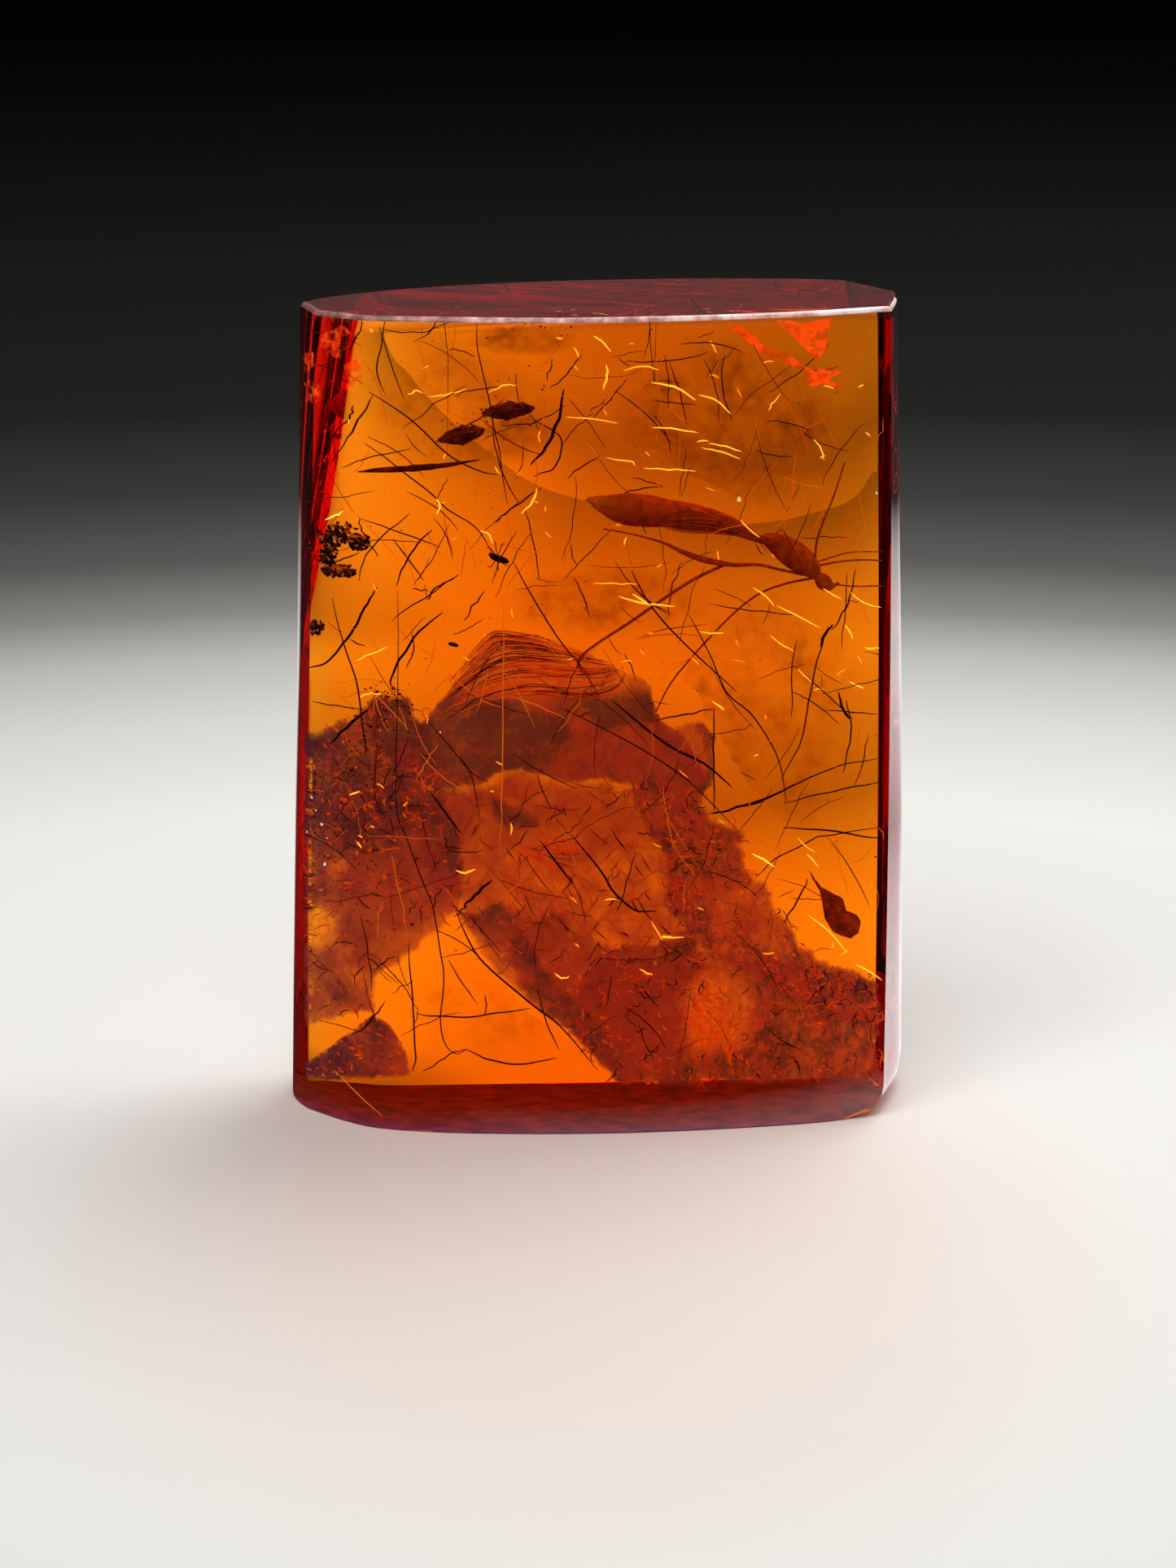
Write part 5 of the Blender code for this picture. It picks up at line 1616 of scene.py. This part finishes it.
class AMBER_OT_add_soil(bpy.types.Operator):
    """Add the clot and the crumb of soil, the bark dust and the tiny gnat"""

    bl_idname = "amber.add_soil"
    bl_label = "Soil and dust"

    def grain(self, bm, layer, centre, size, tone, rng):
        """A small rough grain in the mesh."""
        made = bmesh.ops.create_icosphere(bm, subdivisions=1, radius=size * MM)
        seed = Vector((rng.random() * 50, rng.random() * 50, 0.0))
        stretch = Vector((rng.uniform(0.7, 1.5), rng.uniform(0.6, 1.0), rng.uniform(0.6, 1.3)))
        for vert in made["verts"]:
            p = vert.co / (size * MM)
            vert.co = centre + Vector(p * stretch) * size * MM * (1.0 + 0.8 * noise.noise(p * 1.6 + seed))
            vert[layer] = tone

    def cluster(self, name, material, slot, grains, *nodes):
        """One mesh of many grains given as (centre, size, tone)."""
        rng = random.Random(len(grains))
        bm = bmesh.new()
        layer = bm.verts.layers.float.new("tone")
        for centre, size, tone in grains:
            self.grain(bm, layer, centre, size, tone, rng)
        bmesh.ops.recalc_face_normals(bm, faces=bm.faces)
        mesh = bpy.data.meshes.new(name)
        bm.to_mesh(mesh)
        bm.free()
        obj = bpy.data.objects.new(name, mesh)
        bpy.context.scene.collection.objects.link(obj)
        finish_piece(obj, material, slot, *nodes)

    def execute(self, context):
        settings = context.scene.amber_hairs
        rng = random.Random(settings.seed + 3)
        material = grain_material()
        for name, blobs, count in SOIL:
            grains = []
            for _ in range(count):
                x, y, wide, tall = rng.choice(blobs)
                turn, reach = rng.uniform(0, 2 * math.pi), rng.random() ** 0.9
                px, py = x + wide * reach * math.cos(turn), y + tall * reach * math.sin(turn)
                centre = Amber.seen(max(px, 384.0), py, SOIL_DEPTH + rng.uniform(-0.18, 0.18))
                tone = rng.choice((0.62, 0.72)) if rng.random() < 0.2 else rng.choice((0.0, 0.03, 0.05, 0.1, 0.2))
                grains.append((centre, rng.uniform(0.05, 0.13), tone))
            self.cluster(name, material, "soil", grains, name)
        grains = []
        for _ in range(settings.grains):
            t = rng.random() ** 0.8
            spot = curve_at(DUST_PATH, t)
            spread = 10.0 + 46.0 * t
            px = min(max(spot.x + rng.gauss(0, spread), 374.0), 560.0)
            py = spot.y + rng.gauss(0, spread * 0.8)
            depth = rng.uniform(-1.6, 1.4)
            tone = rng.choice((0.05, 0.1, 0.2, 0.3, 0.35, 0.55)) if rng.random() < 0.985 else 0.8
            grains.append((Amber.seen(px, py, depth), rng.uniform(0.015, 0.06), tone))
        for _ in range(500):
            px, py = rng.uniform(400, 1080), rng.uniform(400, 1300)
            grains.append((Amber.seen(px, py, rng.uniform(-2.8, 1.8)), rng.uniform(0.010, 0.03),
                           rng.choice((0.05, 0.1, 0.2, 0.35))))
        for _ in range(70):
            px, py = rng.choice(((568, 535), (624, 505), (596, 520), (660, 400)))
            grains.append((Amber.seen(px + rng.gauss(0, 26), py + rng.gauss(0, 11), rng.uniform(-1.6, -0.8)),
                           rng.uniform(0.015, 0.05), rng.choice((0.03, 0.05, 0.1, 0.2))))
        for px, py, size in WHITE_SPECKS:
            grains.append((Amber.seen(px, py, -2.8), size, 1.0))
        self.cluster("bark_dust", material, "soil", grains)
        gnat = Strands()
        gnat.add_seen(((601, 680), (608, 685), (617, 688), (625, 691)), (-1.5, -1.5), 0.15, 0.03, 10, blunt=0.3, sides=10)
        for dx, dy in ((-14, -12), (-4, -20), (10, -17), (-12, 12), (2, 16), (15, 10)):
            gnat.add_seen(((611, 685), (611 + dx * 0.6, 685 + dy * 0.9), (611 + dx, 685 + dy)), (-1.5, -1.6), 0.022,
                          0.05, 8, blunt=0.4)
        gnat.add_seen(((551, 791), (557, 792), (563, 794)), (-1.5, -1.5), 0.09, 0.03, 6, blunt=0.5, sides=8)
        finish_piece(gnat.make("gnat"), strand_material("gnat", 0.0), "insect")
        return {"FINISHED"}


DUST_PATH = ((482, 842), (470, 880), (440, 930), (415, 985), (400, 1050), (420, 1110))
# Bright specks: place in pixels and size in mm, drawn as white grains with a painted glow.
WHITE_SPECKS = ((908, 614, 0.11), (383, 980, 0.07), (395, 1013, 0.09), (399, 1062, 0.09), (388, 996, 0.05),
                (402, 1030, 0.05), (377, 1022, 0.06), (541, 900, 0.04), (1077, 606, 0.05))


class AMBER_OT_add_stage(bpy.types.Operator):
    """Add the pale floor, the lights and the camera"""

    bl_idname = "amber.add_stage"
    bl_label = "Stage"

    def panel(self, scene, angle, lights, across, watts):
        """A low panel behind the amber, brighter at its foot, that shows only through the amber."""
        data = bpy.data.lights.new("low panel", "AREA")
        data.shape = "RECTANGLE"
        data.size, data.size_y = PANEL_SIZE
        data.energy = watts
        data.use_nodes = True
        nodes, links = data.node_tree.nodes, data.node_tree.links
        place = nodes.new("ShaderNodeNewGeometry")
        split = nodes.new("ShaderNodeSeparateXYZ")
        links.new(place.outputs["Parametric"], split.inputs["Vector"])
        mix = nodes.new("ShaderNodeMix")
        mix.data_type = "RGBA"
        mix.blend_type = "MULTIPLY"
        mix.inputs["Factor"].default_value = 1.0
        for socket, axis, values in (("A", "Y", lights), ("B", "X", across)):
            stops = [(step / (len(values) - 1), (value, value, value)) for step, value in enumerate(values)]
            links.new(add_ramp(nodes, links, split.outputs[axis], stops), mix.inputs[socket])
        links.new(mix.outputs["Result"], nodes["Emission"].inputs["Color"])
        panel = bpy.data.objects.new("low panel", data)
        out = Vector((math.cos(angle), math.sin(angle), 0.0))
        panel.location = out * PANEL_REACH + Vector((0.0, 0.0, PANEL_SIZE[1] / 2))
        panel.rotation_euler = out.to_track_quat("Z", "Y").to_euler()
        panel.visible_camera = False
        panel.visible_diffuse = False
        panel.visible_glossy = False
        scene.collection.objects.link(panel)

    def execute(self, context):
        settings = context.scene.amber_stage
        scene = context.scene
        bpy.ops.object.select_all(action="DESELECT")
        bpy.ops.mesh.primitive_plane_add(size=4.0, location=(0.0, 0.0, -FLOOR_GAP))
        floor = context.object
        floor.name = "floor"
        floor.data.materials.append(floor_material(settings))

        camera_data = bpy.data.cameras.new("camera")
        camera = bpy.data.objects.new("camera", camera_data)
        scene.collection.objects.link(camera)
        camera_data.sensor_fit = "VERTICAL"
        camera_data.sensor_height = 36.0
        camera_data.lens = FOCAL_PIXELS / PHOTO_SIZE[1] * camera_data.sensor_height
        camera_data.clip_start = 0.005
        camera_data.clip_end = 10.0
        camera.location = CAMERA_PLACE
        camera.rotation_euler = (math.pi / 2 - CAMERA_PITCH, 0.0, 0.0)
        scene.camera = camera

        world = bpy.data.worlds.new("dark room")
        world.use_nodes = True
        world.node_tree.nodes["Background"].inputs["Color"].default_value = (0.085, 0.08, 0.078, 1.0)
        world.node_tree.nodes["Background"].inputs["Strength"].default_value = 1.0
        scene.world = world

        lights = (
            ("key above", (0.14, 0.14, 0.30), (0.0, 0.0, 0.0), 0.30, 0.30, 1.15, True),
            ("front fill", (-0.10, -0.30, 0.45), (0.0, 0.0, 0.0), 0.35, 0.35, 2.0, True),
            ("far streak", (0.09, 0.60, 0.155), (0.0, 0.0, 0.03), 0.16, 0.05, 0.0036, True),
        )
        for name, place, target, width, tall, watts, glossy in lights:
            data = bpy.data.lights.new(name, "AREA")
            data.shape = "RECTANGLE"
            data.size = width
            data.size_y = tall
            data.energy = watts
            lamp = bpy.data.objects.new(name, data)
            lamp.location = place
            lamp.rotation_euler = (Vector(place) - Vector(target)).to_track_quat("Z", "Y").to_euler()
            lamp.visible_camera = False
            lamp.visible_glossy = glossy
            data.shape = "ELLIPSE" if name == "far streak" else "RECTANGLE"
            lamp.visible_diffuse = name != "far streak"
            lamp.visible_transmission = name != "far streak"
            scene.collection.objects.link(lamp)

        for angle, lights, across in PANELS:
            self.panel(scene, math.radians(angle), lights, across, settings.panel_light)

        scene.view_settings.view_transform = "Standard"
        scene.cycles.max_bounces = 12
        scene.cycles.diffuse_bounces = 2
        scene.cycles.transmission_bounces = 12
        scene.cycles.transparent_max_bounces = 12
        scene.cycles.caustics_refractive = True
        scene.cycles.caustics_reflective = True
        return {"FINISHED"}


class AMBER_PT_panel(bpy.types.Panel):
    """The pieces, in the order in which they are made"""

    bl_label = "Insect in amber"
    bl_space_type = "VIEW_3D"
    bl_region_type = "UI"
    bl_category = "Amber"

    def draw(self, context):
        layout = self.layout
        for operator in OPERATORS:
            layout.operator(operator.bl_idname)
        for setting, group in SETTINGS.items():
            for name in group.__annotations__:
                layout.prop(getattr(context.scene, setting), name)


SETTINGS = {
    "amber_block": AmberBlockSettings,
    "amber_fly": FlySettings,
    "amber_film": FilmSettings,
    "amber_hairs": HairSettings,
    "amber_stage": StageSettings,
}
OPERATORS = (
    AMBER_OT_add_block,
    AMBER_OT_add_fly,
    AMBER_OT_add_film,
    AMBER_OT_add_veils,
    AMBER_OT_add_fibres,
    AMBER_OT_add_hairs,
    AMBER_OT_add_glints,
    AMBER_OT_add_scraps,
    AMBER_OT_add_soil,
    AMBER_OT_add_stage,
)


def register():
    for name, group in SETTINGS.items():
        bpy.utils.register_class(group)
        setattr(bpy.types.Scene, name, bpy.props.PointerProperty(type=group))
    for operator in OPERATORS:
        bpy.utils.register_class(operator)
    bpy.utils.register_class(AMBER_PT_panel)


def unregister():
    bpy.utils.unregister_class(AMBER_PT_panel)
    for operator in reversed(OPERATORS):
        bpy.utils.unregister_class(operator)
    for name, group in SETTINGS.items():
        delattr(bpy.types.Scene, name)
        bpy.utils.unregister_class(group)


def main():
    register()
    for operator in OPERATORS:
        section, _, call = operator.bl_idname.partition(".")
        getattr(getattr(bpy.ops, section), call)()


if __name__ == "__main__":
    main()
